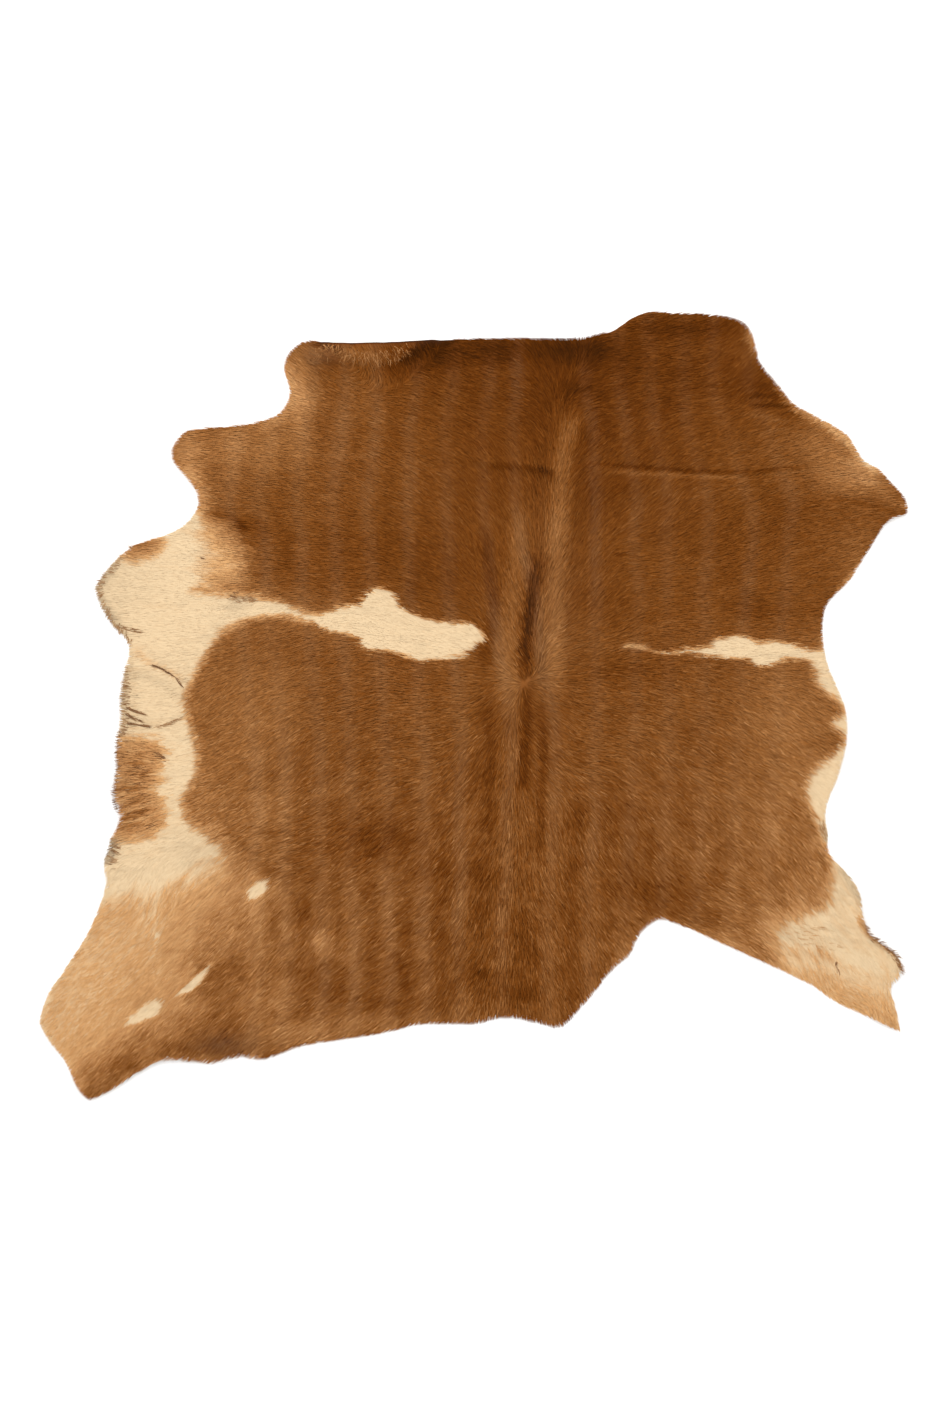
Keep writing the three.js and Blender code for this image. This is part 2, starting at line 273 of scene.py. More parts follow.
# %% Comb the coat
COMB_REACH = 20
COMB = [
    # the fold of the neck
    (-130, 391, 300), (-95, 391, 300), (-60, 395, 300),
    # left of the spine, from the neck to the whorl
    (-191, 370, 140), (-141, 370, 150), (-37, 370, 155), (29, 375, 165), (95, 390, 120), (-191, 318, 172),
    (-81, 318, 168), (51, 318, 170), (-279, 292, 180), (-169, 292, 168), (-59, 292, 160), (73, 292, 130),
    (-257, 239, 172), (-48, 239, 150), (51, 239, 130), (76, 239, 105), (-268, 213, 175), (-81, 213, 160),
    (29, 213, 135), (-356, 160, 175), (-136, 160, 176), (51, 160, 115), (76, 186, 95), (-356, 107, 180),
    (-37, 107, 160), (51, 107, 120), (-301, 81, 185), (-37, 81, 165), (-224, 54, 200), (-37, 54, 172),
    (51, 54, 125), (-4, 28, 180),
    # left of the spine, from the whorl to the rump
    (-268, 2, 212), (-158, 2, 195), (-26, 2, 190), (25, 2, 225), (-356, -51, 175), (-191, -51, 220),
    (-59, -51, 185), (-136, -78, 215), (-4, -78, 230), (25, -78, 255), (-246, -104, 210),
    (-81, -104, 205), (-360, -130, 195), (-191, -157, 200), (-108, -157, 222), (-2, -130, 230),
    (-345, -208, 245), (-246, -208, 225), (-81, -208, 215), (-2, -181, 240), (-400, -236, 215),
    (-301, -236, 220), (-191, -236, 230), (-422, -291, 217), (-323, -291, 222), (-213, -291, 225),
    (-81, -291, 215), (-2, -291, 240), (-422, -368, 228), (-301, -340, 225), (-191, -340, 215),
    (40, -200, 268), (40, -320, 268),
    # right of the spine, from the neck to the whorl
    (161, 397, 0), (238, 397, 10), (295, 397, 45), (139, 345, 20), (227, 345, 5), (315, 345, 30),
    (288, 371, 40), (103, 292, 80), (139, 318, 5), (183, 292, 30), (359, 292, 20), (359, 267, 8),
    (128, 267, 30), (103, 239, 55), (161, 239, 40), (260, 239, 15), (414, 239, 0), (205, 213, 45),
    (271, 213, 25), (103, 186, 50), (249, 186, 20), (414, 186, 10), (103, 160, 62), (183, 160, 0),
    (392, 160, 12), (103, 133, 50), (249, 133, 5), (79, 107, 70), (103, 81, 25), (249, 81, 0),
    (103, 54, 10), (359, 54, 0),
    # right of the spine, from the whorl to the rump
    (79, 2, 330), (139, 2, 350), (249, 2, 345), (370, 2, 330), (79, -25, 315), (288, -25, 325),
    (128, -51, 350), (260, -51, 330), (79, -78, 315), (183, -78, 320), (359, -78, 330), (79, -130, 290),
    (183, -130, 310), (249, -157, 315), (359, -104, 315), (359, -181, 310), (79, -208, 300),
    (183, -208, 315), (271, -208, 330), (392, -208, 310), (249, -236, 330), (414, -263, 315),
    (392, -289, 290), (414, -313, 330), (447, -313, 285), (100, -300, 295),
]


def combed(x, y):
    """Heading of the hair in radians: the strokes' ways, weighed by one over distance to the fourth."""
    way_x, way_y = np.zeros(x.shape), np.zeros(x.shape)
    for stroke_x, stroke_y, heading in COMB:
        weight = ((x - stroke_x) ** 2 + (y - stroke_y) ** 2 + COMB_REACH**2) ** -2.0
        way_x += weight * np.cos(np.radians(heading))
        way_y += weight * np.sin(np.radians(heading))
    return np.arctan2(way_y, way_x)


print("comb strokes:", len(COMB))

# %% [markdown]
# ## The leather
#
# Under the hair is one sheet of tanned leather. Where the hair runs out over the edge, the leather stops a
# few millimetres short of the outline, so that the hair tips make the outline as they do on the real skin.
# One face filled into that edge could not bend, so the sheet is an even field of points in staggered rows,
# joined into triangles inside the edge, once for the hair side and once for the flesh side, with a narrow
# wall between the two.

# %% Leather edge and leather sheet
EDGE_STEP = 3.2
EDGE_INSET = (0.8, 6.0)
EDGE_HAIR = 2.0
EDGE_WOBBLE = 0.6
EDGE_WOBBLE_SIZE = 9
FIELD_STEP = 5.0
MERGE_WITHIN = 1e-4
INSIDE_EDGE = 1

# middle x, middle y, radius x, radius y, how much further tufts reach over the edge there
EDGE_TUFTS = [
    (-395, -60, 40, 130, 2.5), (450, -270, 40, 40, 4.0), (-280, -390, 90, 25, 2.5),
    (60, -350, 90, 20, 2.0), (310, 380, 40, 50, 1.0), (-330, 260, 40, 50, 1.0), (150, -290, 60, 60, 1.0),
    (-416, 128, 20, 30, 1.5),
]


def leather_edge(loop):
    """The outline moved inwards, the more the hair there points outwards, and made a little ragged."""
    closed = np.vstack([loop, loop[:1]])
    so_far = np.append(0, np.cumsum(np.linalg.norm(np.diff(closed, axis=0), axis=1)))
    lengths = np.linspace(0, so_far[-1], round(so_far[-1] / EDGE_STEP), endpoint=False)
    edge = np.column_stack([np.interp(lengths, so_far, closed[:, axis]) for axis in (0, 1)])
    run = np.roll(edge, -2, axis=0) - np.roll(edge, 2, axis=0)
    run /= np.linalg.norm(run, axis=1, keepdims=True)
    outward = np.column_stack([run[:, 1], -run[:, 0]])
    heading = combed(edge[:, 0], edge[:, 1])
    facing = outward[:, 0] * np.cos(heading) + outward[:, 1] * np.sin(heading)
    hair = EDGE_HAIR + patches(edge[:, 0], edge[:, 1], EDGE_TUFTS)
    inset = np.clip(hair * facing, *EDGE_INSET)
    inset += EDGE_WOBBLE * (1 + unevenness(edge[:, 0], edge[:, 1], EDGE_WOBBLE_SIZE, seed=3))
    return edge - outward * inset[:, None]


def leather_field(edge):
    """Triangles over staggered rows of points, one FIELD_STEP apart, inside the leather's edge.

    Two rows lie as far apart as a triangle of equal sides is high, the root of three quarters of a step.
    """
    low, high = edge.min(axis=0), edge.max(axis=0)
    row_gap = FIELD_STEP * np.sqrt(0.75)
    rows = np.arange(low[1], high[1], row_gap)
    columns = np.arange(low[0], high[0] + FIELD_STEP, FIELD_STEP)
    x, y = np.meshgrid(columns, rows)
    x = x + FIELD_STEP / 2 * (np.arange(len(rows)) % 2)[:, None]
    x, y = x.ravel(), y.ravel()
    kept = inside_distance(x, y, edge, FIELD_STEP) > FIELD_STEP / 2
    points = np.vstack([edge, np.column_stack([x[kept], y[kept]])])
    ring = list(range(len(edge)))
    found = delaunay_2d_cdt(points.tolist(), [], [ring], INSIDE_EDGE, MERGE_WITHIN)
    return np.array(found[0], float), np.array(found[2])


edge = leather_edge(outline)
field, field_faces = leather_field(edge)
print("leather:", len(field), "points,", len(field_faces), "triangles on each side")

# %% [markdown]
# ## The markings
#
# The coat is brown, with cream on the belly edges, the right hind leg and two bands behind the shoulders,
# and tan on the left hind leg. A painted image could hold this, but it would be as coarse as its pixels at
# the border of a mark, where single hairs show. So one number stands for all of it, the shade: 0 is the
# darkest brown of the coat, 1 is cream. The table of marks gives each patch its outline, and the
# tables after it the soft changes of tone, the lines along the spine and the creases, and the few hairs
# that are grey.

# %% Patches of the coat
BROWN = 0.33
HALO_WIDTH = 20

# name, shade, change of shade in its streaks, width of the border, length of its fringe, lighter hair
# outside it, outline
MARKS = [
    ("inner part of the left hind leg", 0.74, 0.03, 50, 4, 0.0, [
        (-400, -110), (-330, -120), (-282, -150), (-256, -178), (-253, -204), (-272, -228), (-298, -248),
        (-306, -275), (-307, -300), (-314, -329), (-336, -350), (-385, -373), (-430, -399), (-500, -445),
        (-600, -440), (-600, -250),
    ]),
    ("left hind leg", 0.85, 0.02, 80, 4, 0.0, [
        (-480, -110), (-380, -110), (-326, -150), (-322, -190), (-332, -235), (-344, -270), (-366, -306),
        (-390, -334), (-415, -360), (-450, -395), (-500, -440), (-600, -440), (-600, -250),
    ]),
    ("tan of the left elbow", 0.81, 0.02, 40, 3, 0.0, [
        (-330, 229), (-300, 215), (-276, 197), (-258, 174), (-249, 152), (-256, 135), (-290, 127),
        (-340, 126), (-380, 180), (-360, 230),
    ]),
    ("left elbow", 1.0, 0.02, 34, 2, 0.0, [
        (-332, 226), (-312, 206), (-298, 186), (-294, 166), (-303, 146), (-305, 128), (-280, 121),
        (-243, 116), (-262, 93), (-290, 80), (-443, 80), (-443, 130), (-389, 193), (-345, 222),
    ]),
    ("left belly", 1.0, 0.02, 11, 1, 0.08, [
        (-300, 124), (-262, 121), (-239, 119), (-217, 117), (-206, 112), (-191, 105), (-169, 100),
        (-160, 103), (-150, 106), (-148, 84), (-180, 91), (-191, 93), (-208, 96), (-224, 97), (-246, 95),
        (-261, 91), (-279, 81), (-286, 67), (-297, 50), (-305, 34), (-314, 17), (-317, 1), (-313, -16),
        (-306, -38), (-302, -60), (-304, -76), (-315, -95), (-321, -110), (-316, -126), (-303, -138),
        (-288, -148), (-277, -159), (-274, -170), (-300, -172), (-443, -160), (-443, 110),
    ]),
    ("left belly, lower end", 1.0, 0.02, 42, 3, 0.0, [
        (-340, -110), (-310, -140), (-294, -160), (-286, -180), (-306, -193), (-334, -203), (-372, -211),
        (-403, -214), (-470, -209), (-470, -110),
    ]),
    ("left saddle band", 1.0, 0.01, 5, 2, 0.0, [
        (-175, 98), (-161, 101), (-150, 107), (-127, 111), (-121, 123), (-109, 131), (-97, 130),
        (-90, 125), (-84, 118), (-80, 110), (-72, 104), (-51, 97), (-29, 94), (-13, 93), (0, 88), (9, 82),
        (13, 75), (7, 67), (-8, 55), (-24, 51), (-40, 51), (-56, 48), (-70, 51), (-83, 57), (-102, 60),
        (-117, 61), (-127, 66), (-129, 74), (-158, 80), (-175, 87),
    ]),
    ("brown of the left elbow", 0.52, 0.05, 26, 3, 0.0, [
        (-384, 190), (-372, 187), (-356, 187), (-345, 181), (-350, 171), (-361, 165), (-374, 162),
        (-388, 168),
    ]),
    ("brown on the left belly", 0.64, 0.18, 22, 9, 0.0, [
        (-420, -48), (-389, -39), (-367, -36), (-350, -39), (-343, -50), (-344, -68), (-348, -82),
        (-354, -93), (-341, -112), (-340, -131), (-356, -143), (-381, -147), (-420, -140),
    ]),
    ("right saddle streak", 1.0, 0.01, 5, 2, 0.0, [
        (205, 59), (217, 58), (236, 63), (252, 64), (259, 66), (263, 72), (280, 75), (295, 78), (306, 76),
        (315, 71), (333, 72), (349, 69), (356, 64), (379, 62), (400, 60), (381, 50), (363, 51), (345, 53),
        (339, 46), (322, 43), (311, 43), (305, 49), (300, 52), (279, 53), (258, 54), (236, 58), (217, 56),
        (205, 57),
    ]),
    ("right belly", 1.0, 0.02, 10, 1, 0.06, [
        (362, 58), (370, 46), (374, 38), (378, 27), (382, 17), (392, 8), (402, 4), (416, -1), (416, -7),
        (398, -13), (392, -20), (398, -28), (416, -33), (416, -40), (404, -48), (384, -62), (368, -78),
        (364, -91), (368, -107), (374, -122), (379, -138), (383, -152), (440, -152), (440, 62), (380, 62),
    ]),
    ("tip of the right hind leg", 0.82, 0.02, 40, 6, 0.10, [
        (336, -256), (376, -260), (403, -270), (450, -280), (490, -292), (540, -400), (440, -400),
        (376, -345), (330, -300),
    ]),
    ("right hind leg", 0.97, 0.03, 20, 3, 0.14, [
        (388, -160), (390, -177), (392, -190), (388, -205), (386, -220), (366, -227), (350, -234),
        (336, -243), (332, -256), (340, -270), (358, -277), (378, -276), (392, -279), (405, -286),
        (425, -296), (447, -302), (475, -306), (510, -290), (510, -150), (415, -150),
    ]),
    ("spot above the left hind leg", 1.0, 0.0, 4, 1, 0.0, [
        (-249, -216), (-252, -206), (-244, -197), (-235, -191), (-227, -191), (-225, -200), (-230, -208),
        (-240, -214),
    ]),
    ("upper streak of the left hind leg", 1.0, 0.0, 3, 2, 0.0, [
        (-328, -321), (-318, -309), (-305, -295), (-288, -283), (-297, -300), (-309, -316),
    ]),
    ("lower streak of the left hind leg", 1.0, 0.0, 3, 2, 0.0, [
        (-387, -354), (-368, -336), (-352, -323), (-339, -328), (-346, -340), (-362, -348),
    ]),
    ("dot of the left hind leg", 0.98, 0.0, 3, 1, 0.0, [
        (-353, -254), (-346, -248), (-343, -252), (-349, -257),
    ]),
]

# middle x, middle y, radius x, radius y, change of shade
TONES = [
    # neck
    (30, 350, 140, 50, -0.14), (227, 370, 110, 60, -0.15), (-196, 345, 16, 50, 0.28),
    (112, 345, 18, 12, -0.10), (80, 340, 30, 25, 0.03), (230, 416, 70, 14, -0.15),
    (320, 350, 26, 24, -0.12), (350, 320, 14, 8, -0.08), (70, 280, 150, 50, -0.08),
    (-75, 378, 32, 18, -0.17), (-30, 385, 16, 22, -0.09), (20, 388, 40, 18, -0.09),
    (130, 392, 34, 18, -0.20), (175, 385, 16, 16, -0.06), (-125, 325, 50, 36, 0.06),
    (130, 290, 14, 60, -0.06), (210, 285, 60, 26, -0.04), (-150, 377, 20, 10, -0.10),
    (-182, 340, 22, 18, 0.10), (105, 318, 14, 24, 0.05),
    # shoulders and forelegs
    (-315, 275, 24, 45, 0.30), (-245, 285, 55, 32, 0.17), (-245, 196, 26, 12, -0.09),
    # (427, 250) below is painted light on the right foreleg's roll.
    (-205, 170, 9, 26, -0.08), (385, 285, 38, 36, 0.16), (427, 250, 46, 20, 0.25), (38, 20, 14, 30, 0.06),
    (350, 212, 22, 20, -0.05), (-290, 231, 15, 13, 0.11), (-264, 197, 10, 10, -0.06),
    (-60, 165, 140, 55, -0.10), (-28, 128, 14, 26, -0.07), (-68, 128, 9, 30, -0.05),
    (320, 106, 36, 14, -0.07), (170, 245, 14, 22, -0.06), (-272, 281, 14, 30, 0.09),
    (425, 268, 14, 10, 0.18), (270, 265, 12, 26, 0.04), (260, 190, 120, 90, -0.08),
    (165, 40, 60, 18, -0.09), (425, 165, 25, 40, 0.10), (160, 105, 60, 30, -0.05),
    (260, 232, 70, 10, 0.04), (410, 282, 20, 22, 0.05), (132, 225, 16, 30, -0.09),
    (15, 240, 50, 24, -0.07), (10, 286, 30, 18, -0.03), (130, 180, 9, 60, -0.03),
    # flanks
    (-265, -20, 65, 80, 0.15), (345, -20, 50, 70, 0.15), (345, -150, 60, 75, 0.15),
    (-250, -118, 45, 30, 0.13), (-110, -145, 50, 26, -0.10), (-220, -139, 22, 7, -0.06),
    (-200, -176, 26, 12, -0.05), (-205, 10, 22, 40, 0.05), (20, -75, 25, 15, -0.03),
    (190, -115, 45, 12, -0.05), (12, -12, 16, 24, -0.09), (330, -110, 10, 25, -0.06),
    (-300, -30, 18, 24, -0.06), (-304, -103, 12, 22, 0.05), (-286, -118, 24, 40, 0.11),
    (-230, -150, 22, 22, 0.07), (300, -160, 20, 30, 0.05), (364, -198, 25, 26, 0.10),
    (-170, -110, 60, 60, 0.03), (230, -130, 70, 50, 0.03),
    # rump
    (-40, -180, 14, 18, -0.06), (0, -185, 28, 12, -0.05), (190, -205, 45, 13, -0.12),
    (50, -315, 26, 15, -0.09), (5, -295, 14, 10, -0.08), (-80, -290, 12, 20, -0.08),
    (110, -250, 10, 80, -0.06), (115, -130, 8, 40, -0.05), (-190, -360, 70, 16, 0.20),
    (-100, -346, 60, 12, 0.12), (330, -236, 48, 28, 0.12), (20, -265, 70, 70, -0.05),
    (0, -240, 250, 45, 0.02), (60, -260, 22, 50, -0.04), (-40, -270, 16, 40, -0.04),
    (-150, -230, 60, 60, 0.05), (-20, -345, 60, 10, 0.05), (-232, -222, 28, 46, 0.17),
    (-215, -330, 16, 36, 0.10), (-225, -262, 20, 20, 0.06), (278, -252, 20, 14, 0.10),
    (310, -270, 14, 10, 0.06), (150, -197, 20, 8, -0.05), (210, -222, 16, 10, -0.05),
    # left hind leg
    (-170, -260, 13, 12, 0.14), (-218, -242, 9, 16, -0.10), (-185, -232, 18, 9, -0.08),
    (-215, -266, 9, 10, -0.06), (-195, -291, 26, 8, -0.08), (-160, -316, 12, 16, -0.10),
    (-170, -352, 10, 8, -0.07), (-86, -338, 12, 12, -0.06), (-264, -284, 14, 13, -0.15),
    (-273, -371, 22, 14, -0.11), (-290, -265, 28, 40, 0.18), (-288, -346, 22, 18, 0.10),
    (-268, -250, 18, 34, 0.20), (-258, -285, 26, 20, 0.10), (-312, -332, 26, 18, 0.15),
    (-336, -357, 22, 16, 0.22), (-360, -377, 20, 13, 0.16), (-224, -300, 18, 18, 0.06),
    (-268, -354, 12, 14, -0.08), (-404, -409, 22, 12, 0.12), (-182, -285, 12, 10, 0.06),
    (-206, -318, 14, 12, 0.05), (-190, -340, 10, 6, -0.06), (-255, -322, 40, 24, 0.12),
    (-360, -384, 90, 18, 0.10), (-425, -425, 30, 20, 0.18), (-245, -200, 20, 30, 0.10),
]

print("marks:", len(MARKS), "tones:", len(TONES))

# %% Lines of lighter and darker hair
# name, change of shade, width to the left, width to the right, fade at the ends, line
STREAKS = [
    # Painted light and shade of the spine's ridge: light on its right side, shade at its left foot and on
    # below the whorl.
    ("painted light on the spine's right side", 0.17, 19, 20, 40,
     [(116, 335), (102, 290), (97, 250), (96, 200), (92, 150), (91, 100), (91, 55), (94, 0)]),
    ("left side of the spine", 0.11, 20, 16, 60, [(48, 230), (45, 150), (40, 100), (36, 50), (33, -10)]),
    ("painted shade left of the spine", -0.29, 15, 10, 45, [(71, 180), (66, 145), (61, 105), (56, 65), (53, 18)]),
    ("painted shade below the whorl", -0.18, 12, 12, 22, [(60, 26), (60, 0), (59, -30), (56, -70), (54, -105)]),
    ("pale dot of the whorl", 0.05, 6, 6, 4, [(54, 29), (64, 28)]),
    ("dark hair left of the spine", -0.12, 13, 13, 30,
     [(10, 205), (16, 160), (22, 110), (14, 70), (5, 30)]),
    ("dark hair left of the whorl", -0.07, 11, 11, 40, [(16, 20), (18, -50), (17, -110), (16, -170)]),
    ("dark hair right of the tail line", -0.13, 10, 10, 40, [(73, 25), (78, -40), (76, -100), (73, -190)]),
    # more painted light on the spine's lit right side
    ("painted light right of the spine", 0.10, 15, 15, 30, [(88, 230), (87, 195), (82, 155)]),
    # Painted shade in the shoulder creases, and painted light on the lip below the right one.
    ("right shoulder crease", -0.12, 3, 4, 40,
     [(112, 264), (139, 266), (205, 261), (282, 257), (350, 262), (385, 265)]),
    ("lip of the right shoulder crease", 0.10, 5, 5, 30, [(136, 259), (200, 254), (315, 249)]),
    ("left shoulder crease", -0.09, 4, 6, 20, [(8, 263), (50, 263), (80, 258), (94, 250)]),
    ("end of the left shoulder crease", -0.14, 5, 6, 8, [(68, 262), (92, 252)]),
    ("line over the left shoulder", 0.06, 4, 5, 20, [(-192, 276), (-140, 274), (-98, 277)]),
    # Painted shade in a crease below the right shoulder.
    ("painted shade in the crease below the right shoulder", -0.07, 3, 4, 12, [(146, 169), (186, 163)]),
    # Painted shadow below the right foreleg's roll, and painted light on its top.
    ("painted shadow below the right foreleg roll", -0.07, 4, 4, 20, [(378, 236), (408, 226), (442, 218), (472, 208)]),
    ("painted light on the right foreleg's roll", 0.09, 10, 9, 16, [(418, 256), (440, 243), (457, 228), (470, 217)]),
    ("pale tip of the right foreleg", 0.3, 6, 6, 5, [(474, 226), (475, 213)]),
    ("dark edge of the neck", -0.13, 12, 34, 40, [(-82, 392), (-40, 397), (20, 398), (130, 398)]),
    ("pale tips of the neck tuck", 0.09, 6, 6, 12,
     [(-152, 386), (-120, 383), (-105, 381), (-88, 382), (-72, 387)]),
    # Painted shadow below the far right end of the neck's fold.
    ("end of the neck tuck", -0.20, 6, 8, 12, [(-82, 379), (-62, 388), (-46, 397), (-18, 403)]),
    ("left end of the neck tuck", -0.25, 5, 5, 8, [(-180, 399), (-160, 392), (-138, 388)]),
    ("upper edge of the neck tuck", -0.35, 4, 4, 15, [(-178, 400), (-110, 399), (-30, 402)]),
    # Painted shade in the two wrinkles at the right of the neck.
    ("neck wrinkle", -0.17, 3, 4, 16, [(300, 331), (322, 330), (358, 329)]),
    ("upper neck wrinkle", -0.09, 3, 3, 14, [(294, 341), (322, 340), (350, 337)]),
    ("under the neck wrinkle", 0.08, 6, 5, 20, [(294, 320), (320, 318), (352, 310)]),
    # Painted light: thin hair tips along these edges are lit through by the pale floor.
    ("pale edge of the neck, right", 0.38, 9, 9, 20,
     [(300, 424), (310, 396), (330, 362), (352, 332), (382, 314), (412, 290), (434, 266), (452, 250)]),
    ("pale edge of the neck, left", 0.16, 12, 12, 20, [(-208, 388), (-205, 350), (-214, 316), (-250, 305)]),
    ("pale edge behind the left foreleg", 0.22, 20, 20, 20,
     [(-328, 264), (-305, 240), (-302, 212), (-318, 192)]),
    ("pale edge behind the right foreleg", 0.45, 9, 9, 20, [(450, 180), (408, 128), (390, 92), (384, 50)]),
    ("pale edge of the left hind leg", 0.10, 14, 14, 20,
     [(-408, -195), (-440, -260), (-480, -345), (-446, -400), (-420, -432)]),
    ("pale edge of the right belly", 0.4, 8, 8, 8, [(402, 12), (410, -14), (408, -40), (396, -62)]),
    ("pale edge under the left hind leg", 0.15, 9, 9, 20,
     [(-400, -420), (-345, -390), (-288, -391), (-225, -384)]),
    ("pale edge of the rump", 0.13, 9, 9, 20,
     [(108, -346), (140, -306), (172, -264), (202, -238), (260, -252), (320, -278)]),
    # Painted shade along the elbow's fold.
    ("painted shade on the left elbow's fold", -0.14, 6, 8, 10, [(-304, 210), (-282, 210), (-262, 204), (-248, 190)]),
    # Painted shade in the wrinkle of the cream belly.
    ("belly wrinkle", -0.09, 7, 4, 16,
     [(-375, 72), (-367, 54), (-356, 46), (-343, 40), (-329, 32), (-317, 18)]),
    ("brown at the right hind leg", -0.2, 7, 7, 8, [(376, -158), (385, -171), (392, -184)]),
    # Painted light that evens out the shade of the right hind leg's fold.
    ("painted light on the right hind leg's fold", 0.08, 12, 12, 14, [(406, -276), (428, -281), (450, -287)]),
    ("brown on the left belly, middle", -0.15, 15, 15, 10, [(-372, -94), (-364, -126)]),
    ("brown on the left belly, lower end", -0.10, 7, 7, 8, [(-348, -138), (-356, -147)]),
    ("dark hair at the right hind leg", -0.25, 4, 7, 10,
     [(426, -228), (430, -245), (450, -261), (468, -275)]),
    ("pale thread right of the spine", 0.45, 5, 5, 8, [(160, 64), (173, 66), (186, 64), (197, 61)]),
    ("thread to the right streak", 0.3, 2.5, 2.5, 6, [(192, 62), (204, 58), (216, 58)]),
    ("fold line of the left hind leg", 0.06, 13, 10, 20, [(-350, -192), (-350, -320)]),
    ("second fold line of the left hind leg", 0.04, 7, 5, 30, [(-311, -200), (-313, -330)]),
    ("cross line of the left hind leg", -0.09, 3, 3, 15, [(-358, -268), (-312, -270), (-276, -268)]),
]

# name, share of grey hair, width to the left, width to the right, fade at the ends, line
GREY_EDGES = [
    ("left elbow edge", 0.5, 16, 16, 20, [(-388, 170), (-416, 128), (-398, 88), (-380, 60)]),
    ("left belly edge, upper", 0.7, 9, 9, 15, [(-384, 66), (-388, 20), (-390, -30)]),
    ("left belly edge, middle", 0.25, 10, 10, 15, [(-392, -40), (-394, -90), (-392, -140)]),
    ("left belly edge, lower", 0.8, 11, 11, 12, [(-397, -138), (-404, -178)]),
    ("right hind leg edge", 0.3, 9, 13, 10,
     [(466, -300), (468, -279), (436, -252), (426, -215), (400, -172)]),
    ("right belly, lower end", 0.5, 8, 8, 6, [(392, -128), (388, -152)]),
]
GREY_PATCHES = [
    # (428, -280) takes grey out, as painted light on the right hind leg's fold.
    (354, -254, 22, 16, 0.14), (384, -266, 12, 12, 0.05), (428, -280, 26, 12, -0.15),
    (-300, -165, 30, 20, 0.18), (-273, -373, 34, 14, 0.2), (86, 120, 30, 110, 0.07),
    (-260, 111, 14, 8, 0.25), (-385, 135, 40, 30, 0.07), (180, 64, 12, 5, 0.2), (-210, 108, 20, 8, 0.08),
    (-168, 384, 20, 10, 0.2),
]

# Faint light bands run from neck to rump: where each of them crosses four levels of the skin
BAND_LEVELS = (-240, -50, 220, 350)
BANDS = [
    (-240, -240, -268, -255), (-207, -208, -235, -215), (-167, -170, -193, -178),
    (-134, -135, -155, -140), (-94, -96, -118, -105), (-54, -55, -75, -62), (-14, -15, -33, -25),
    (34, 42, 7, 15), (83, 92, 47, 46), (127, 135, 136, 125), (165, 180, 180, 162), (205, 217, 213, 195),
    (245, 255, 257, 230), (285, 290, 308, 262), (325, 330, 350, 305),
]
BAND_WIDTH = 12
BAND_MEAN = 0.5
BAND_WANDER = 4
BAND_WANDER_SIZE = 60
BAND_GREY = (0.17, 0.26)
BAND_PLACES = (-350, -290, -240, -120, -50, 60, 150, 215, 300, 345, 400)
BAND_STRENGTHS = (0.12, 0.12, 0.145, 0.09, 0.06, 0.05, 0.075, 0.11, 0.115, 0.09, 0.06)

# where the bands start and stop to fade on the right, and the share of them that is left there
BAND_FADE = (100, 200, 0.65)
BAND_BREAKS = (0.85, 0.5)
BAND_BREAK_SIZE = 75
BAND_PATCHES = [(210, 285, 130, 26, -0.55), (-165, 300, 50, 50, 0.9), (-10, 290, 60, 40, -0.6)]


def bands(x, y):
    """The light bands: a bell curve across each of them, less their mean, which breaks up along them."""
    over = x + BAND_WANDER * unevenness(x, y, BAND_WANDER_SIZE, seed=11)
    light = np.zeros(x.shape)
    for crossings in BANDS:
        light += np.exp(-(((over - np.interp(y, BAND_LEVELS, crossings)) / BAND_WIDTH) ** 2))
    start, end, left_over = BAND_FADE
    fade = 1 - (1 - left_over) * past(x, start, end - start)
    fade *= 1 + patches(x, y, BAND_PATCHES)
    whole, broken = BAND_BREAKS
    return (light - BAND_MEAN) * fade * (whole + broken * unevenness(x, y, BAND_BREAK_SIZE, seed=12))


print("lines:", len(STREAKS), "grey edges:", len(GREY_EDGES), "bands:", len(BANDS))

# %% Shade and grey of any place
STREAK_LENGTH = 22
STREAK_STEPS = 7
STREAK_SIZE = 4
STREAK_CHANGE = 0.015
RAGGED_BORDER = 2.5
SHARP_WIDTH = 4
LINE_BLUR = 0.35
RUMP_TOP = 40
RUMP_EASE = 200
RUMP_TO_NECK = (-150, 100)

# size of the patches, change of shade at the neck, further change at the rump, seed
MOTTLES = [(30, 0.015, 0.02, 13), (11, 0.012, 0.03, 14)]

# shade where a kind of hair starts, and the width over which it sets in
BROWN_STARTS = (0.05, 0.2)
BROWN_ENDS = (0.45, 0.25)
GREYING_CREAM = (0.8, 0.2)

CREAM_GREY = 0.12
WISP_STRETCH = 0.15
WISP_SIZE = 3
CLOUD_SHARE = 0.6
CLOUD_SIZE = 28


def along_hair(x, y, heading, size, seed):
    """Unevenness drawn out along the hair: the sum of it at a few steps along the heading."""
    total = np.zeros(x.shape)
    for step in np.linspace(-STREAK_LENGTH / 2, STREAK_LENGTH / 2, STREAK_STEPS):
        total += unevenness(x + step * np.cos(heading), y + step * np.sin(heading), size, seed)
    return total / np.sqrt(STREAK_STEPS)


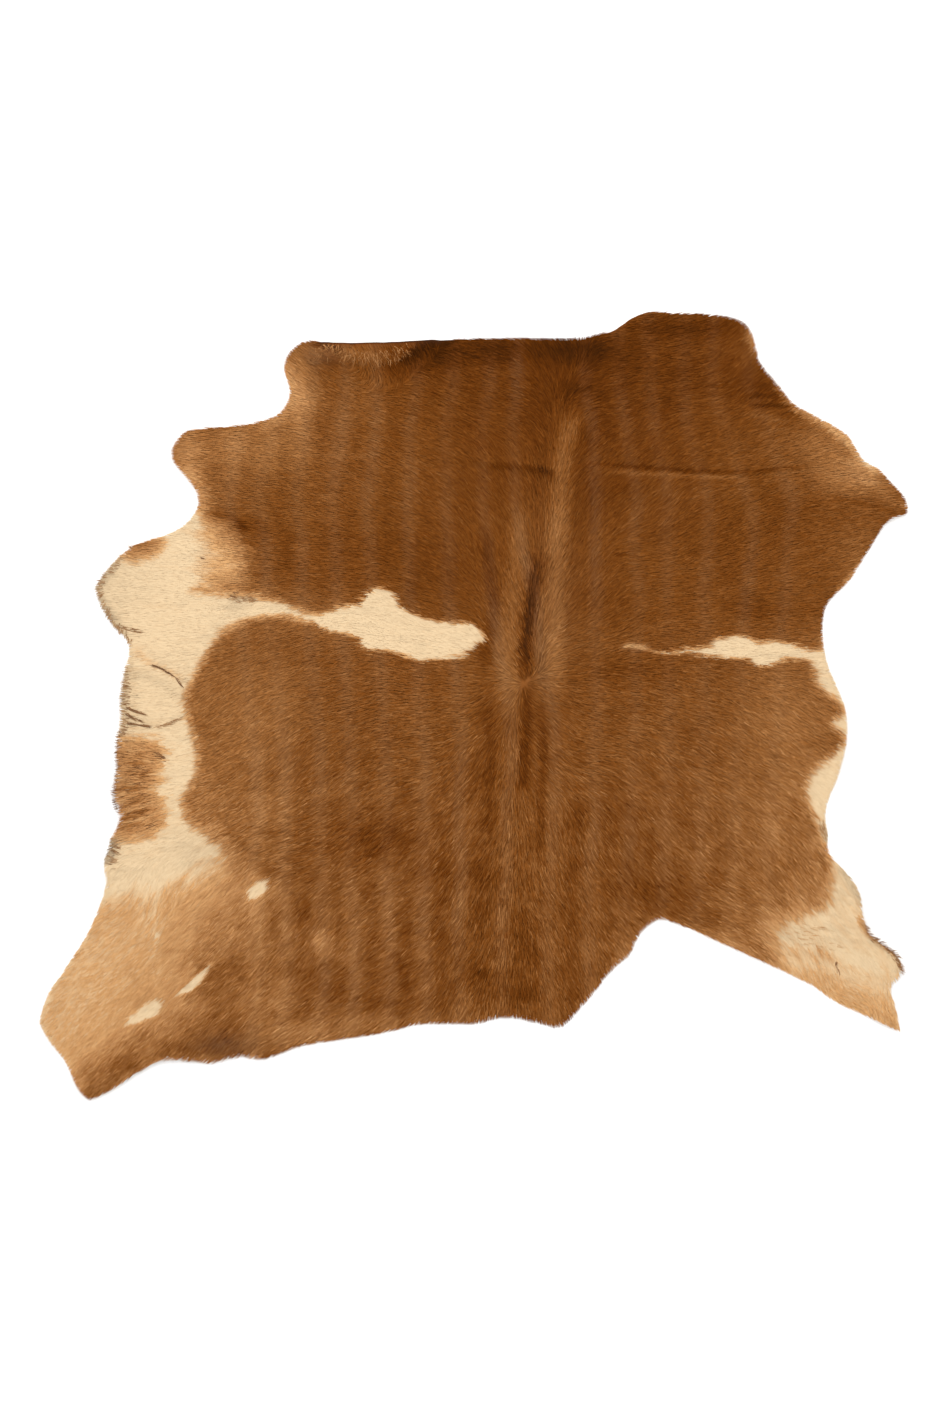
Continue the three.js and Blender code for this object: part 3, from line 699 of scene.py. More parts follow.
def coat_shade(x, y, heading, ragged):
    """Shade of the coat: brown with soft tones and bands, then the marks, then the lines.

    A border is drawn out along the hair by its fringe, and `ragged` moves each hair's place in it by a few
    millimetres, so that it is a mix of hairs.
    """
    shade = BROWN + patches(x, y, TONES)
    shade += bands(x, y) * np.interp(y, BAND_PLACES, BAND_STRENGTHS)
    rump = eased((RUMP_TOP - y) / RUMP_EASE)
    for size, change, further, seed in MOTTLES:
        shade += (change + further * rump) * unevenness(x, y, size, seed)
    drawn = along_hair(x, y, heading, STREAK_SIZE, seed=15)
    shade += STREAK_CHANGE * drawn
    for name, value, streaks, border, fringe, halo, points in MARKS:
        depth = inside_distance(x, y, np.array(points, float), 2 * max(border, HALO_WIDTH))
        moved = depth + fringe * drawn + ragged * min(RAGGED_BORDER, border / 2)
        cover = eased(0.5 + moved / border)
        shade += (1 - cover) * halo * np.exp(-((depth / HALO_WIDTH) ** 2))
        shade += cover * (value + streaks * drawn - shade)
    for name, change, left, right, fade, line in STREAKS:
        blur = LINE_BLUR * max(left - SHARP_WIDTH, 0)
        near, form, along = ridge(x + blur * ragged, y, line, left, right, fade)
        shade[near] += change * form
    return np.clip(shade, 0, 1)


def grey_share(x, y, shade):
    """How grey the hair is: edges, a few patches, the bands in the brown and wisps in the cream."""
    brown = past(shade, *BROWN_STARTS) - past(shade, *BROWN_ENDS)
    wisps = unevenness(WISP_STRETCH * x, y, WISP_SIZE, seed=16)
    wisps += CLOUD_SHARE * unevenness(x, y, CLOUD_SIZE, seed=17)
    share = patches(x, y, GREY_PATCHES)
    share += np.interp(y, RUMP_TO_NECK, BAND_GREY) * brown * np.maximum(0, bands(x, y))
    share += CREAM_GREY * past(shade, *GREYING_CREAM) * np.maximum(0, wisps)
    for name, amount, left, right, fade, line in GREY_EDGES:
        near, form, along = ridge(x, y, line, left, right, fade)
        share[near] += amount * form
    return np.clip(share, 0, 1)


middle_of_back = np.zeros(1)
print("shade in the middle of the back:", coat_shade(middle_of_back, middle_of_back, np.pi, 0).round(2))

# %% [markdown]
# ## Locks of hair
#
# A calf has some ten million hairs, and Blender's hair system could grow a few of them, but its curves are
# lost when the model is handed on as a mesh. So the coat is made of locks, each a bundle of a dozen hairs.
# All locks are worked out at once as arrays with one row a lock: first where each of them grows, where it
# points to and how long it is.

# %% Grow the locks
ROOT_GAP = 1.65
LOCK_LENGTH = 13.0
LENGTH_RANGE = (0.75, 1.2)
SHORTEST_CUT = 0.2
LEAST_FALL = 0.1
ROOT_MARGIN = 0.2
EDGE_REACH = (0.2, 1.4)
TUFT_SIZE = 5
CLUMP_TURN = np.radians(5)
LOCK_TURN = np.radians(6)

# size of the clumps, share of the turn, seed
CLUMPS = [(9, 1.0, 21), (22, 0.7, 22)]

# middle x, middle y, radius x, radius y, change of a lock's length
LOCK_LENGTHS = [
    (-420, -320, 60, 80, -4.5), (430, -300, 60, 60, -3.0), (-395, -60, 25, 140, 4.0),
    (80, 120, 30, 150, 3.0),
]

draw = np.random.default_rng(5)


def hair_roots():
    """Places on a square grid inside the leather's edge, each moved by up to half a step."""
    low, high = edge.min(axis=0), edge.max(axis=0)
    x, y = np.meshgrid(np.arange(low[0], high[0], ROOT_GAP), np.arange(low[1], high[1], ROOT_GAP))
    x = x.ravel() + draw.uniform(-0.5, 0.5, x.size) * ROOT_GAP
    y = y.ravel() + draw.uniform(-0.5, 0.5, y.size) * ROOT_GAP
    kept = inside_distance(x, y, edge, ROOT_GAP) > ROOT_MARGIN
    return x[kept], y[kept]


def lock_headings(x, y):
    """The comb's heading, turned a little for each clump of hair and for each lock."""
    turn = sum(share * unevenness(x, y, size, seed) for size, share, seed in CLUMPS)
    return combed(x, y) + CLUMP_TURN * turn + LOCK_TURN * draw.standard_normal(x.size)


def lock_lengths(x, y):
    """Length by the part of the body, a little different for each lock."""
    return (LOCK_LENGTH + patches(x, y, LOCK_LENGTHS)) * draw.uniform(*LENGTH_RANGE, x.size)


def cut_at_edge(x, y, heading, length):
    """The length cut so that a tip passes the outline by a few millimetres at most."""
    furthest = 2 * LOCK_LENGTH
    tip_x, tip_y = x + length * np.cos(heading), y + length * np.sin(heading)
    root = inside_distance(x, y, outline, furthest)
    tip = inside_distance(tip_x, tip_y, outline, furthest)
    tuft = np.clip(0.5 + unevenness(x, y, TUFT_SIZE, seed=23), 0, 1)
    reach = draw.uniform(*EDGE_REACH, x.size) + patches(x, y, EDGE_TUFTS) * tuft
    share = np.where(tip < -reach, (root + reach) / np.maximum(root - tip, LEAST_FALL), 1)
    return length * np.clip(share, SHORTEST_CUT, 1)


root_x, root_y = hair_roots()
heading = lock_headings(root_x, root_y)
length = cut_at_edge(root_x, root_y, heading, lock_lengths(root_x, root_y))
print("locks:", len(length), "of", round(length.mean(), 1), "mm")

# %% [markdown]
# Some hair does not follow the comb. Longer, paler hair hangs over the fold of the neck tuck, and dark tips
# stick out at the edges. Thin dark locks along the wrinkle and pleats of the cream belly are painted shade
# in them. Each row of the next table scatters such strays about a line, turned to the left of the way that
# the line runs.

# %% Stray hair
STRAY_STEP = 0.5
STRAY_CLUMP = 10
STRAY_LOOSE = 0.5
STRAY_WIDTH = 0.7
STRAY_REACH = 3.5

# name, how many, spread about the line, turn and its spread in degrees, lengths, shades, grey, line
STRAYS = [
    ("fringe of the neck tuck", 800, 6, -98, 42, (6, 14), (0.28, 0.65), 0.1,
     [(-176, 394), (-140, 390), (-112, 386), (-92, 388), (-76, 393)]),
    ("edge of the left elbow", 140, 3, -55, 14, (6, 11), (0.5, 0.85), 0.5,
     [(-372, 172), (-392, 150), (-407, 128), (-396, 100), (-377, 72)]),
    ("nick at the left elbow", 14, 0.5, 0, 8, (5, 9), (0.1, 0.3), 0.5, [(-302, 163), (-297, 161)]),
    ("tuft under the left elbow", 70, 5, 0, 16, (8, 13), (0.3, 0.85), 0.45,
     [(-272, 122), (-258, 119), (-246, 118)]),
    # painted shade in the belly's wrinkle
    ("belly wrinkle", 64, 0.8, 0, 6, (6, 11), (0.1, 0.4), 0.5,
     [(-357, 46), (-343, 40), (-331, 33), (-322, 24)]),
    ("over the belly wrinkle", 30, 2, 0, 8, (7, 11), (0.4, 0.7), 0.5, [(-392, 88), (-380, 84), (-370, 82)]),
    # The strays of the pleats below are painted shade in them.
    ("belly pleat, upper", 50, 1, 0, 6, (7, 12), (0.2, 0.55), 0.5, [(-384, 0), (-376, -4), (-366, -8)]),
    ("belly pleat, middle", 40, 1, 0, 6, (7, 12), (0.2, 0.55), 0.5, [(-383, -8), (-376, -12), (-370, -15)]),
    ("belly pleat, lower", 50, 1, 0, 6, (7, 12), (0.2, 0.55), 0.5, [(-384, -19), (-374, -20), (-362, -22)]),
    ("belly pleat, inner", 40, 1.5, 0, 8, (6, 10), (0.55, 0.8), 0.5,
     [(-354, -23), (-338, -21), (-324, -15)]),
    ("brown on the left belly", 260, 12, -88, 10, (9, 15), (0.12, 0.5), 0.25,
     [(-372, -50), (-362, -75), (-368, -105), (-362, -132)]),
    ("upper tuft on the left belly", 30, 3, 0, 14, (8, 14), (0.1, 0.45), 0.3, [(-336, -60), (-348, -55)]),
    ("lower tuft on the left belly", 50, 3, 0, 14, (8, 14), (0.1, 0.45), 0.3, [(-342, -136), (-354, -133)]),
    ("edge of the left belly", 200, 4, -90, 14, (7, 12), (0.35, 0.75), 0.45,
     [(-376, 40), (-378, 0), (-379, -40), (-380, -80), (-376, -120), (-388, -160), (-394, -185)]),
    ("dark tips of the left belly", 150, 2.5, -90, 20, (5, 9), (0.1, 0.45), 0.45,
     [(-386, -30), (-387, -52), (-385, -70), (-391, -92), (-390, -118)]),
    ("under the left hind leg", 130, 3, -120, 18, (6, 11), (0.15, 0.6), 0.2,
     [(-345, -380), (-312, -381), (-288, -383), (-257, -375), (-230, -378), (-185, -364)]),
    ("end of the right belly", 40, 3, 6, 12, (6, 11), (0.55, 0.85), 0.4, [(381, -124), (384, -142)]),
    ("edge of the right hind leg", 130, 2.5, 34, 18, (7, 11), (0.2, 0.6), 0.35,
     [(424, -238), (434, -254), (449, -265), (462, -277), (469, -291)]),
    ("grey of the right hind leg", 90, 12, 6, 10, (8, 12), (0.82, 0.98), 0.2,
     [(344, -244), (360, -249), (388, -258)]),
    ("nick in the right hind leg", 26, 1.2, 0, 14, (4, 7), (0.1, 0.5), 0.4, [(398, -280), (401, -292)]),
]


def stray_locks():
    """Place, heading, length, shade and grey of every stray, one row a lock."""
    rows = []
    for name, count, about, turn, turn_spread, lengths, shades, grey, points in STRAYS:
        line, run = smooth_line(points, STRAY_STEP)[1:]
        chosen = draw.integers(0, len(line), count)
        place = line[chosen] + about * draw.uniform(-1, 1, (count, 2))
        clump = unevenness(*place.T, STRAY_CLUMP, seed=24) + STRAY_LOOSE * draw.standard_normal(count)
        way = np.arctan2(run[chosen, 1], run[chosen, 0]) + np.radians(turn + turn_spread * clump)
        rows.append(np.column_stack([
            place, way, draw.uniform(*lengths, count), draw.uniform(*shades, count), np.full(count, grey)
        ]))
    return np.vstack(rows)


strays = stray_locks()
strays[:, 3] = np.minimum(strays[:, 3], cut_at_edge(*strays[:, :4].T) + STRAY_REACH)
root_x, root_y, heading, length = (
    np.append(combed_part, strays[:, column])
    for column, combed_part in enumerate((root_x, root_y, heading, length))
)
print("with", len(strays), "strays:", len(length))

# %% [markdown]
# Each lock takes its colour from the marks a little past its middle, where it shows, so a border across
# the lie of the hair comes out fringed and a border along it comes out sharp, as in the real coat.

# %% Colour of each lock
SHOWN_AT = 0.6
SHADE_SPREAD = (0.07, 0.035)
TAN = (0.5, 0.3)
EVEN_TAN = 0.4
PALEST_CREAM = (0.86, 0.12)
EVEN_CREAM = 0.47
RAGGED_LIMIT = 2
GREY_RANGE = (0.6, 1.4)

shown_x = root_x + SHOWN_AT * length * np.cos(heading)
shown_y = root_y + SHOWN_AT * length * np.sin(heading)
ragged = draw.standard_normal(root_x.size).clip(-RAGGED_LIMIT, RAGGED_LIMIT) / RAGGED_LIMIT
lock_shade = coat_shade(shown_x, shown_y, heading, ragged)
spread = np.interp(root_y, RUMP_TO_NECK, SHADE_SPREAD)
spread *= 1 - EVEN_TAN * past(lock_shade, *TAN) - EVEN_CREAM * past(lock_shade, *PALEST_CREAM)
lock_shade = np.clip(lock_shade + spread * draw.standard_normal(root_x.size), 0, 1)
lock_grey = grey_share(shown_x, shown_y, lock_shade) * draw.uniform(*GREY_RANGE, root_x.size)
lock_grey = np.clip(lock_grey, 0, 1)
lock_shade[-len(strays):], lock_grey[-len(strays):] = strays[:, 4], strays[:, 5]
lock_number = draw.random(root_x.size)
print("shade of the coat:", lock_shade.min().round(2), "to", lock_shade.max().round(2))

# %% [markdown]
# Each lock is a thin closed blade with four corners: its root, a left and a right shoulder, and its tip. It
# rises steeply from the leather, then lies nearly flat, rolled a little to one side, and the next ones lie
# over it. The cream locks are broader and lie closer to the leather, so they close up to a smoother coat.

# %% Shape of each lock
LOCK_WIDTH = 1.0
WIDTH_RANGE = (0.75, 1.25)
SHOULDER = 0.35
SHOULDER_RISE = 0.82
ROOT_DEPTH = 0.3
RISE = (1.3, 3.2)
RISE_BY_LENGTH = (0.4, 1.1)
CREAM = (0.7, 0.3)
CREAM_RISE = 0.3
CREAM_WIDTH = 1.4
ROLL = 0.07


def lock_places(x, y, heading, length, shade):
    """The four corners of every lock: root, left shoulder, right shoulder and tip."""
    run_x, run_y = np.cos(heading), np.sin(heading)
    half = LOCK_WIDTH / 2 * draw.uniform(*WIDTH_RANGE, x.size)
    rise = draw.uniform(*RISE, x.size) * np.clip(length / LOCK_LENGTH, *RISE_BY_LENGTH)
    cream = past(shade, *CREAM)
    flat = (1 - CREAM_RISE) * cream
    rise *= 1 - flat
    half *= 1 + (CREAM_WIDTH - 1) * cream
    half[-len(strays):] *= STRAY_WIDTH
    roll = ROLL * (1 - flat) * draw.standard_normal(x.size) * half * 2
    zero = np.zeros(x.size)
    corners = [
        (0, zero, zero - ROOT_DEPTH),
        (SHOULDER, half, SHOULDER_RISE * rise + roll),
        (SHOULDER, -half, SHOULDER_RISE * rise - roll),
        (1, zero, rise),
    ]
    places = np.empty((x.size, len(corners), 3))
    for corner, (along, aside, height) in enumerate(corners):
        place_x = x + along * length * run_x - aside * run_y
        place_y = y + along * length * run_y + aside * run_x
        places[:, corner, 0] = place_x
        places[:, corner, 1] = place_y
        places[:, corner, 2] = LEATHER + skin_lift(place_x, place_y) + height
    return places


locks = lock_places(root_x, root_y, heading, length, lock_shade)
print("highest tip in mm:", locks[..., 2].max().round(1))

# %% [markdown]
# ## Meshes
#
# foreach_set copies a whole array into a mesh at once. The numbers that the materials need, such as a
# lock's shade, go with it as attributes of its points. The coat is parted into five pieces by place, so
# that no mesh gets too heavy, and each has a flat map of its footprint for baking.

# %% Put arrays into meshes
def put_mesh(name, places, faces, smooth):
    """A new object at the origin from places in millimetres and triangles of point numbers."""
    mesh = bpy.data.meshes.new(name)
    mesh.vertices.add(len(places))
    mesh.vertices.foreach_set("co", (places * MM).astype(np.float32).ravel())
    mesh.loops.add(faces.size)
    mesh.loops.foreach_set("vertex_index", faces.astype(np.int32).ravel())
    mesh.polygons.add(len(faces))
    mesh.polygons.foreach_set("loop_start", np.arange(0, faces.size, 3, dtype=np.int32))
    mesh.polygons.foreach_set("use_smooth", smooth)
    mesh.update(calc_edges=True)
    piece = bpy.data.objects.new(name, mesh)
    bpy.context.scene.collection.objects.link(piece)
    return piece


def put_numbers(piece, **numbers):
    """Named numbers on every point of a piece, for its material to read."""
    for name, values in numbers.items():
        attribute = piece.data.attributes.new(name, "FLOAT", "POINT")
        attribute.data.foreach_set("value", values.astype(np.float32))


def put_footprint(piece, places, faces):
    """A flat map of the piece as seen from above, fitted to the unit square."""
    low, high = places[:, :2].min(axis=0), places[:, :2].max(axis=0)
    flat = (places[:, :2] - low) / (high - low)
    layer = piece.data.uv_layers.new(name="OFBake")
    layer.data.foreach_set("uv", flat[faces.ravel()].astype(np.float32).ravel())


# %% The leather sheet
UNDERCOAT_GREY = 0.5


def make_leather():
    """The hair side, the flesh side below it, and the wall along the open sides between them."""
    count = len(field)
    under = np.column_stack([field, skin_lift(field[:, 0], field[:, 1])])
    upper = under + [0, 0, LEATHER]
    start, end = open_sides(field_faces).T
    wall = np.concatenate([
        np.column_stack([end, start, start + count]),
        np.column_stack([end, start + count, end + count]),
    ])
    faces = np.concatenate([field_faces, field_faces[:, ::-1] + count, wall])
    smooth = np.arange(len(faces)) < 2 * len(field_faces)
    piece = put_mesh("skin", np.vstack([upper, under]), faces, smooth)
    flesh = np.arange(len(faces)) >= len(field_faces)
    piece.data.polygons.foreach_set("material_index", flesh.astype(np.int32))
    shade = coat_shade(*field.T, combed(*field.T), np.zeros(count))
    grey = UNDERCOAT_GREY * grey_share(*field.T, shade)
    put_numbers(piece, shade=np.tile(shade, 2), grey=np.tile(grey, 2))
    return piece


skin = make_leather()
print("skin:", len(skin.data.polygons), "triangles")

# %% The coat in five pieces
NECK_FROM = 215
RUMP_FROM = -190
BACK = (-100, 160)
LOCK_FACES = np.array([(0, 2, 1), (1, 2, 3), (0, 1, 3), (0, 3, 2)])
LOCK_ALONG = np.array([0, SHOULDER, SHOULDER, 1])
LOCK_ACROSS = np.array([0, -1, 1, 0])
LOCK_CORNERS = len(LOCK_ALONG)

trunk = (root_y > RUMP_FROM) & (root_y <= NECK_FROM)
COAT = {
    "neck_hair": root_y > NECK_FROM,
    "left_side_hair": trunk & (root_x < BACK[0]),
    "back_hair": trunk & (root_x >= BACK[0]) & (root_x < BACK[1]),
    "right_side_hair": trunk & (root_x >= BACK[1]),
    "rump_hair": root_y <= RUMP_FROM,
}


def make_hair(name, chosen):
    """One piece of the coat: the chosen locks as closed blades of four triangles."""
    count = np.count_nonzero(chosen)
    places = locks[chosen].reshape(-1, 3)
    faces = (LOCK_FACES + LOCK_CORNERS * np.arange(count)[:, None, None]).reshape(-1, 3)
    piece = put_mesh(name, places, faces, np.zeros(len(faces), bool))
    put_numbers(
        piece,
        shade=np.repeat(lock_shade[chosen], LOCK_CORNERS),
        grey=np.repeat(lock_grey[chosen], LOCK_CORNERS),
        lock=np.repeat(lock_number[chosen], LOCK_CORNERS),
        along=np.tile(LOCK_ALONG, count),
        across=np.tile(LOCK_ACROSS, count),
    )
    put_footprint(piece, places, faces)
    print(name, len(faces), "triangles")
    return piece


coat = [make_hair(name, chosen) for name, chosen in COAT.items()]

# %% [markdown]
# ## Materials
#
# Hair and leather share two effects, so each is a node group. "coat colour" turns a shade into a colour on
# a ramp from dark brown to cream, darker at the root and with some grey. "fine fibres" is a noise that is
# stretched along the hair. The shaders stay in the materials, because a group only hands on colours and
# numbers.

# %% Node helpers
def srgb(red, green, blue):
    """A colour as on screen, 0 to 255, in the linear numbers that Blender's nodes use."""
    share = np.array([red, green, blue]) / 255
    linear = np.where(share <= 0.04045, share / 12.92, ((share + 0.055) / 1.055) ** 2.4)
    return (*linear.tolist(), 1.0)


def add_node(tree, kind, values=None, **settings):
    """A node with its settings, and with the values of its named or numbered inputs."""
    node = tree.nodes.new("ShaderNode" + kind)
    for name, value in settings.items():
        setattr(node, name, value)
    for name, value in (values or {}).items():
        node.inputs[name].default_value = value
    return node


def join(tree, source, socket, node, target):
    """A link from an output to an input."""
    tree.links.new(source.outputs[socket], node.inputs[target])


def new_group(name, inputs, outputs):
    """A node group with named sockets, and its two end nodes."""
    group = bpy.data.node_groups.new(name, "ShaderNodeTree")
    for in_out, sockets in (("INPUT", inputs), ("OUTPUT", outputs)):
        for socket, kind in sockets.items():
            group.interface.new_socket(socket, in_out=in_out, socket_type="NodeSocket" + kind)
    return group, group.nodes.new("NodeGroupInput"), group.nodes.new("NodeGroupOutput")


def new_material(name):
    """An empty material with its shader, and the tree that holds them."""
    material = bpy.data.materials.new(name)
    material.use_nodes = True
    tree = material.node_tree
    tree.nodes.clear()
    shader = add_node(tree, "BsdfPrincipled")
    join(tree, shader, "BSDF", add_node(tree, "OutputMaterial"), "Surface")
    return material, tree, shader


print("middle grey in linear numbers:", round(srgb(128, 128, 128)[0], 3))

# %% The two node groups
COAT_RAMP = [
    (0.00, srgb(58, 27, 4)), (0.15, srgb(95, 47, 7)), (0.28, srgb(117, 66, 22)), (0.37, srgb(130, 80, 37)),
    (0.50, srgb(151, 100, 54)), (0.66, srgb(178, 128, 80)), (0.82, srgb(194, 148, 98)),
    (1.00, srgb(204, 179, 143)),
]
GREY_HAIR = srgb(116, 98, 78)
ROOT_AND_TIP = (0.84, 1.04)
CREAM_ROOT = 0.13

# the colour sockets of a mix node share their names, so they go by number: two in, one out
MIX_FIRST, MIX_SECOND, MIX_RESULT = 6, 7, 2


def coat_colour_group():
    """Shade to colour by the ramp, mixed with grey, and darker towards the root, least in cream hair."""
    group, start, end = new_group(
        "coat colour", {"Shade": "Float", "Grey": "Float", "Along": "Float"}, {"Colour": "Color"}
    )
    ramp = add_node(group, "ValToRGB")
    stops = ramp.color_ramp.elements
    for place, colour in COAT_RAMP[1:-1]:
        stops.new(place).color = colour
    stops[0].color, stops[-1].color = COAT_RAMP[0][1], COAT_RAMP[-1][1]
    join(group, start, "Shade", ramp, "Fac")
    grey = add_node(group, "Mix", {MIX_SECOND: GREY_HAIR}, data_type="RGBA")
    join(group, start, "Grey", grey, 0)
    join(group, ramp, "Color", grey, MIX_FIRST)
    depth = add_node(group, "MapRange", {"To Max": ROOT_AND_TIP[1]})
    join(group, start, "Along", depth, "Value")
    root = add_node(group, "Math", {1: CREAM_ROOT, 2: ROOT_AND_TIP[0]}, operation="MULTIPLY_ADD")
    join(group, start, "Shade", root, 0)
    join(group, root, 0, depth, "To Min")
    shaded = add_node(group, "VectorMath", operation="SCALE")
    join(group, grey, MIX_RESULT, shaded, 0)
    join(group, depth, "Result", shaded, "Scale")
    join(group, shaded, 0, end, "Colour")
    return group


def fine_fibres_group():
    """A noise from 0 to 1 at the given place, with a little of a finer one."""
    group, start, end = new_group("fine fibres", {"Place": "Vector", "Size": "Float"}, {"Fibres": "Float"})
    noise = add_node(group, "TexNoise", {"Detail": 2.0, "Roughness": 0.55})
    join(group, start, "Place", noise, "Vector")
    join(group, start, "Size", noise, "Scale")
    join(group, noise, 0, end, "Fibres")
    return group


coat_colour = coat_colour_group()
fine_fibres = fine_fibres_group()
print("node groups:", coat_colour.name, "and", fine_fibres.name)

# %% [markdown]
# Hair has a soft gloss along its length. Blender's hair shader is made for curves, but each lock here is a
# blade that stands for a dozen hairs. So it has the plain shader, and its material draws the hairs: the
# noise reads the place across the lock, hardly the place along it, and the lock's own number, and it
# changes the colour, the gloss and the bump.

# %% Short hair
# how fast the noise changes across a lock, along it and from one lock to the next
HAIR_NOISE = {"across": 4.0, "along": 1.2, "lock": 90.0}
HAIR_TINT = (0.92, 1.08)
HAIR_ROUGHNESS = (0.42, 0.68)
HAIR_BUMP = (0.3, 0.0002)
HAIR_GLINT = srgb(255, 206, 150)
HAIR_SPECULAR = 0.05
NOISE_RANGE = (0.25, 0.75)


def add_number(tree, name):
    """The node that reads one of the piece's numbers."""
    return add_node(tree, "Attribute", attribute_name=name)


def ranged(tree, fibres, source, target):
    """The fibres moved from one range of numbers to another."""
    ends = {"From Min": source[0], "From Max": source[1], "To Min": target[0], "To Max": target[1]}
    change = add_node(tree, "MapRange", ends)
    join(tree, fibres, "Fibres", change, "Value")
    return change


def tinted(tree, colour, socket, fibres, tint):
    """A colour made darker and lighter by the fibres, by the two factors of `tint`."""
    change = ranged(tree, fibres, NOISE_RANGE, tint)
    scaled = add_node(tree, "VectorMath", operation="SCALE")
    join(tree, colour, socket, scaled, 0)
    join(tree, change, "Result", scaled, "Scale")
    return scaled


def bumped(tree, shader, fibres, strength, distance):
    """A bump from the fibres on the shader's normal."""
    bump = add_node(tree, "Bump", {"Strength": strength, "Distance": distance})
    join(tree, fibres, "Fibres", bump, "Height")
    join(tree, bump, "Normal", shader, "Normal")


def short_hair_material():
    """Coat colour on every lock, with fine hairs drawn along it."""
    material, tree, shader = new_material("short hair")
    colour = add_node(tree, "Group", node_tree=coat_colour)
    for name in ("shade", "grey", "along"):
        join(tree, add_number(tree, name), "Fac", colour, name.title())
    place = add_node(tree, "CombineXYZ")
    for axis, (name, scale) in enumerate(HAIR_NOISE.items()):
        stretched = add_node(tree, "Math", {1: scale}, operation="MULTIPLY")
        join(tree, add_number(tree, name), "Fac", stretched, 0)
        join(tree, stretched, 0, place, axis)
    fibres = add_node(tree, "Group", {"Size": 1.0}, node_tree=fine_fibres)
    join(tree, place, 0, fibres, "Place")
    join(tree, tinted(tree, colour, "Colour", fibres, HAIR_TINT), 0, shader, "Base Color")
    join(tree, ranged(tree, fibres, (0, 1), HAIR_ROUGHNESS), "Result", shader, "Roughness")
    bumped(tree, shader, fibres, *HAIR_BUMP)
    shader.inputs["Specular IOR Level"].default_value = HAIR_SPECULAR
    shader.inputs["Specular Tint"].default_value = HAIR_GLINT
    return material


short_hair = short_hair_material()
for piece in coat:
    piece.data.materials.append(short_hair)
print("short hair on", len(coat), "pieces")

# %% [markdown]
# Between the locks the short woolly undercoat shows. It has the colour of the hair above it in the shade of
# the roots, and it is quite dull. The flesh side is pale leather, sanded to a fine nap, with cloudy
# patches where the tanning took unevenly.

# %% Undercoat and flesh side
UNDERCOAT_ALONG = 0.3
UNDERCOAT_GRAIN = 700.0
UNDERCOAT_TINT = (0.9, 1.1)
UNDERCOAT_BUMP = (0.5, 0.0006)
UNDERCOAT_ROUGHNESS = 0.9
UNDERCOAT_SPECULAR = 0.1
FLESH = srgb(214, 191, 158)
FLESH_DARK = srgb(186, 158, 122)
FLESH_CLOUDS = 14.0
FLESH_NAP = 900.0
FLESH_TINT = (0.92, 1.08)
FLESH_BUMP = (0.4, 0.0004)
FLESH_ROUGHNESS = 0.92


def undercoat_material():
    """Coat colour in the shade of the roots, with a woolly grain."""
    material, tree, shader = new_material("undercoat")
    colour = add_node(tree, "Group", {"Along": UNDERCOAT_ALONG}, node_tree=coat_colour)
    for name in ("shade", "grey"):
        join(tree, add_number(tree, name), "Fac", colour, name.title())
    place = add_node(tree, "TexCoord")
    fibres = add_node(tree, "Group", {"Size": UNDERCOAT_GRAIN}, node_tree=fine_fibres)
    join(tree, place, "Object", fibres, "Place")
    join(tree, tinted(tree, colour, "Colour", fibres, UNDERCOAT_TINT), 0, shader, "Base Color")
    bumped(tree, shader, fibres, *UNDERCOAT_BUMP)
    shader.inputs["Roughness"].default_value = UNDERCOAT_ROUGHNESS
    shader.inputs["Specular IOR Level"].default_value = UNDERCOAT_SPECULAR
    return material


def flesh_side_material():
    """Pale leather with cloudy patches and a fine nap."""
    material, tree, shader = new_material("flesh side")
    place = add_node(tree, "TexCoord")
    clouds = add_node(tree, "Group", {"Size": FLESH_CLOUDS}, node_tree=fine_fibres)
    nap = add_node(tree, "Group", {"Size": FLESH_NAP}, node_tree=fine_fibres)
    for grain in (clouds, nap):
        join(tree, place, "Object", grain, "Place")
    mixed = add_node(tree, "Mix", {MIX_FIRST: FLESH_DARK, MIX_SECOND: FLESH}, data_type="RGBA")
    join(tree, clouds, "Fibres", mixed, 0)
    join(tree, tinted(tree, mixed, MIX_RESULT, nap, FLESH_TINT), 0, shader, "Base Color")
    bumped(tree, shader, nap, *FLESH_BUMP)
    shader.inputs["Roughness"].default_value = FLESH_ROUGHNESS
    return material


for material in (undercoat_material(), flesh_side_material()):
    skin.data.materials.append(material)
print("materials:", [material.name for material in bpy.data.materials])

# %% [markdown]
# ## One object
#
# The skin is one rigid body here. All pieces ride on it and stand for the solid.

for piece in [skin, *coat]:
    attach(piece, "root")
    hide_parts("hide")

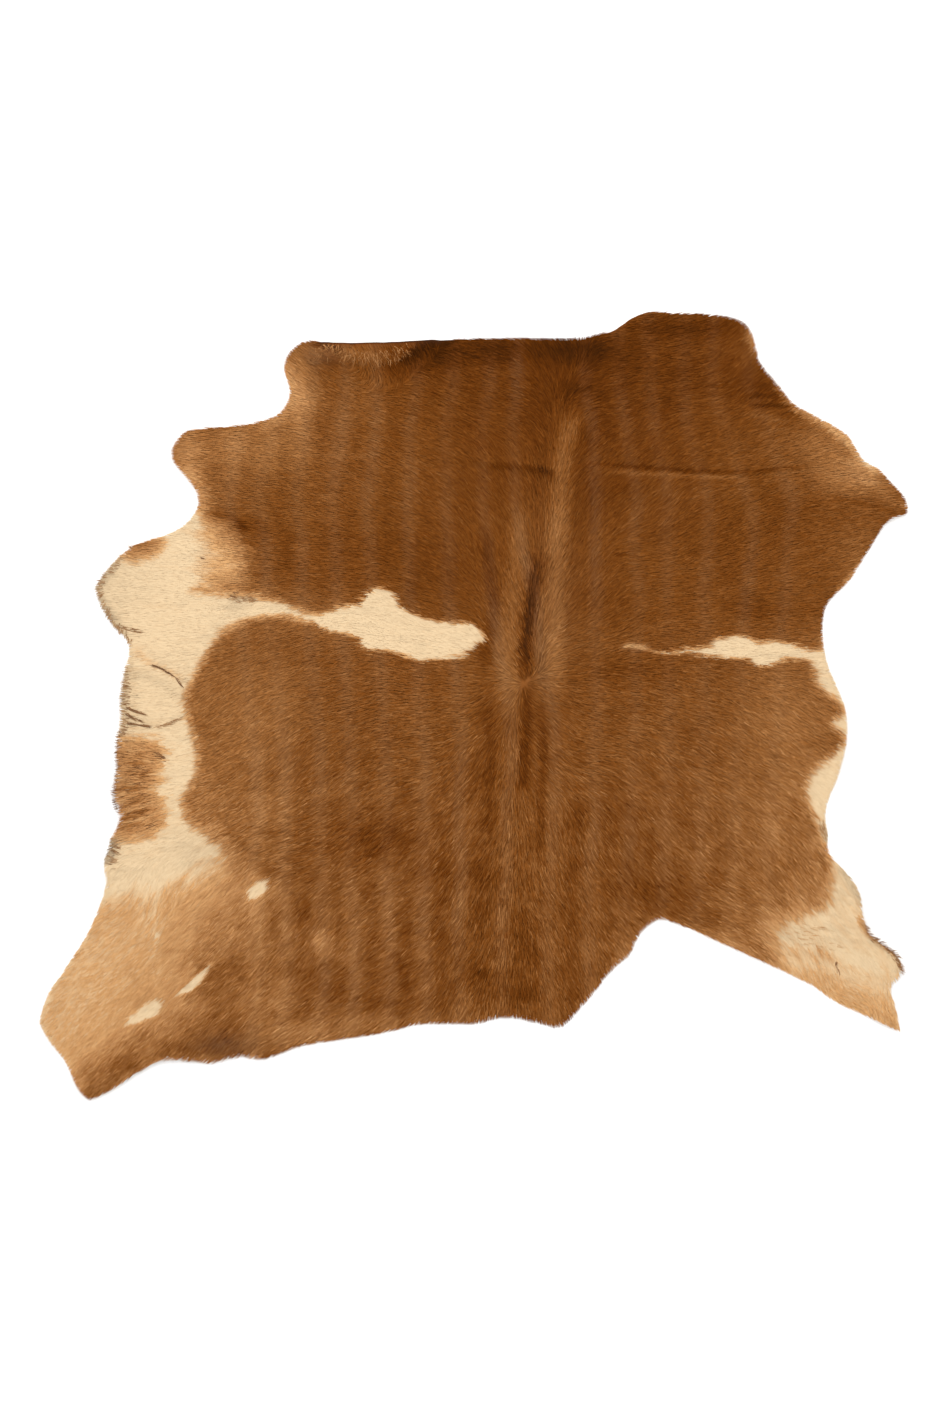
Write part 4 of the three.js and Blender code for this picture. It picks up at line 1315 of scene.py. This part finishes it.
# %% [markdown]
# ## Floor, light and camera
#
# The skin lies on a white floor and is seen straight from above with a long lens, so nothing in it leans.
# A white sky gives the even light of a studio, and one broad lamp beyond the neck shades the folds.

# %% Floor
FLOOR_HALF = 6.0
FLOOR_Z = -0.0005
FLOOR_COLOUR = srgb(244, 244, 244)
FLOOR_ROUGHNESS = 0.9


def make_floor():
    """A wide square just under the skin, of a plain pale finish."""
    mesh = bpy.data.meshes.new("floor")
    square = np.array([(-1, -1), (1, -1), (1, 1), (-1, 1)]) * FLOOR_HALF
    mesh.from_pydata(np.column_stack([square, np.full(4, FLOOR_Z)]).tolist(), [], [(0, 1, 2, 3)])
    floor = bpy.data.objects.new("floor", mesh)
    bpy.context.scene.collection.objects.link(floor)
    material, tree, shader = new_material("white floor")
    shader.inputs["Base Color"].default_value = FLOOR_COLOUR
    shader.inputs["Roughness"].default_value = FLOOR_ROUGHNESS
    mesh.materials.append(material)
    return floor


print("stage:", make_floor().name)

# %% Light and camera
SKY = 1.05
LAMP_POWER = 54.0
LAMP_SIZE = 2.4
LAMP_AT = Vector((-0.25, 0.9, 2.5))
VIEW_MIDDLE = (0.0006, -0.006)
VIEW_DISTANCE = 3.693
LENS = 85
SENSOR = 36

scene = bpy.context.scene
scene.view_settings.view_transform = "Standard"
world = bpy.data.worlds.new("studio")
world.use_nodes = True
world.node_tree.nodes["Background"].inputs["Color"].default_value = (1, 1, 1, 1)
world.node_tree.nodes["Background"].inputs["Strength"].default_value = SKY
scene.world = world

lamp = bpy.data.lights.new("lamp", "AREA")
lamp.size = LAMP_SIZE
lamp.energy = LAMP_POWER
lamp_object = bpy.data.objects.new("lamp", lamp)
lamp_object.location = LAMP_AT
lamp_object.rotation_euler = (-LAMP_AT).to_track_quat("-Z", "Y").to_euler()
lamp_object.visible_camera = False
scene.collection.objects.link(lamp_object)

camera = bpy.data.cameras.new("camera")
camera.lens = LENS
camera.sensor_width = SENSOR
camera_object = bpy.data.objects.new("camera", camera)
camera_object.location = (*VIEW_MIDDLE, VIEW_DISTANCE)
scene.collection.objects.link(camera_object)
scene.camera = camera_object
print("light and camera:", lamp_object.name, "and", camera_object.name)
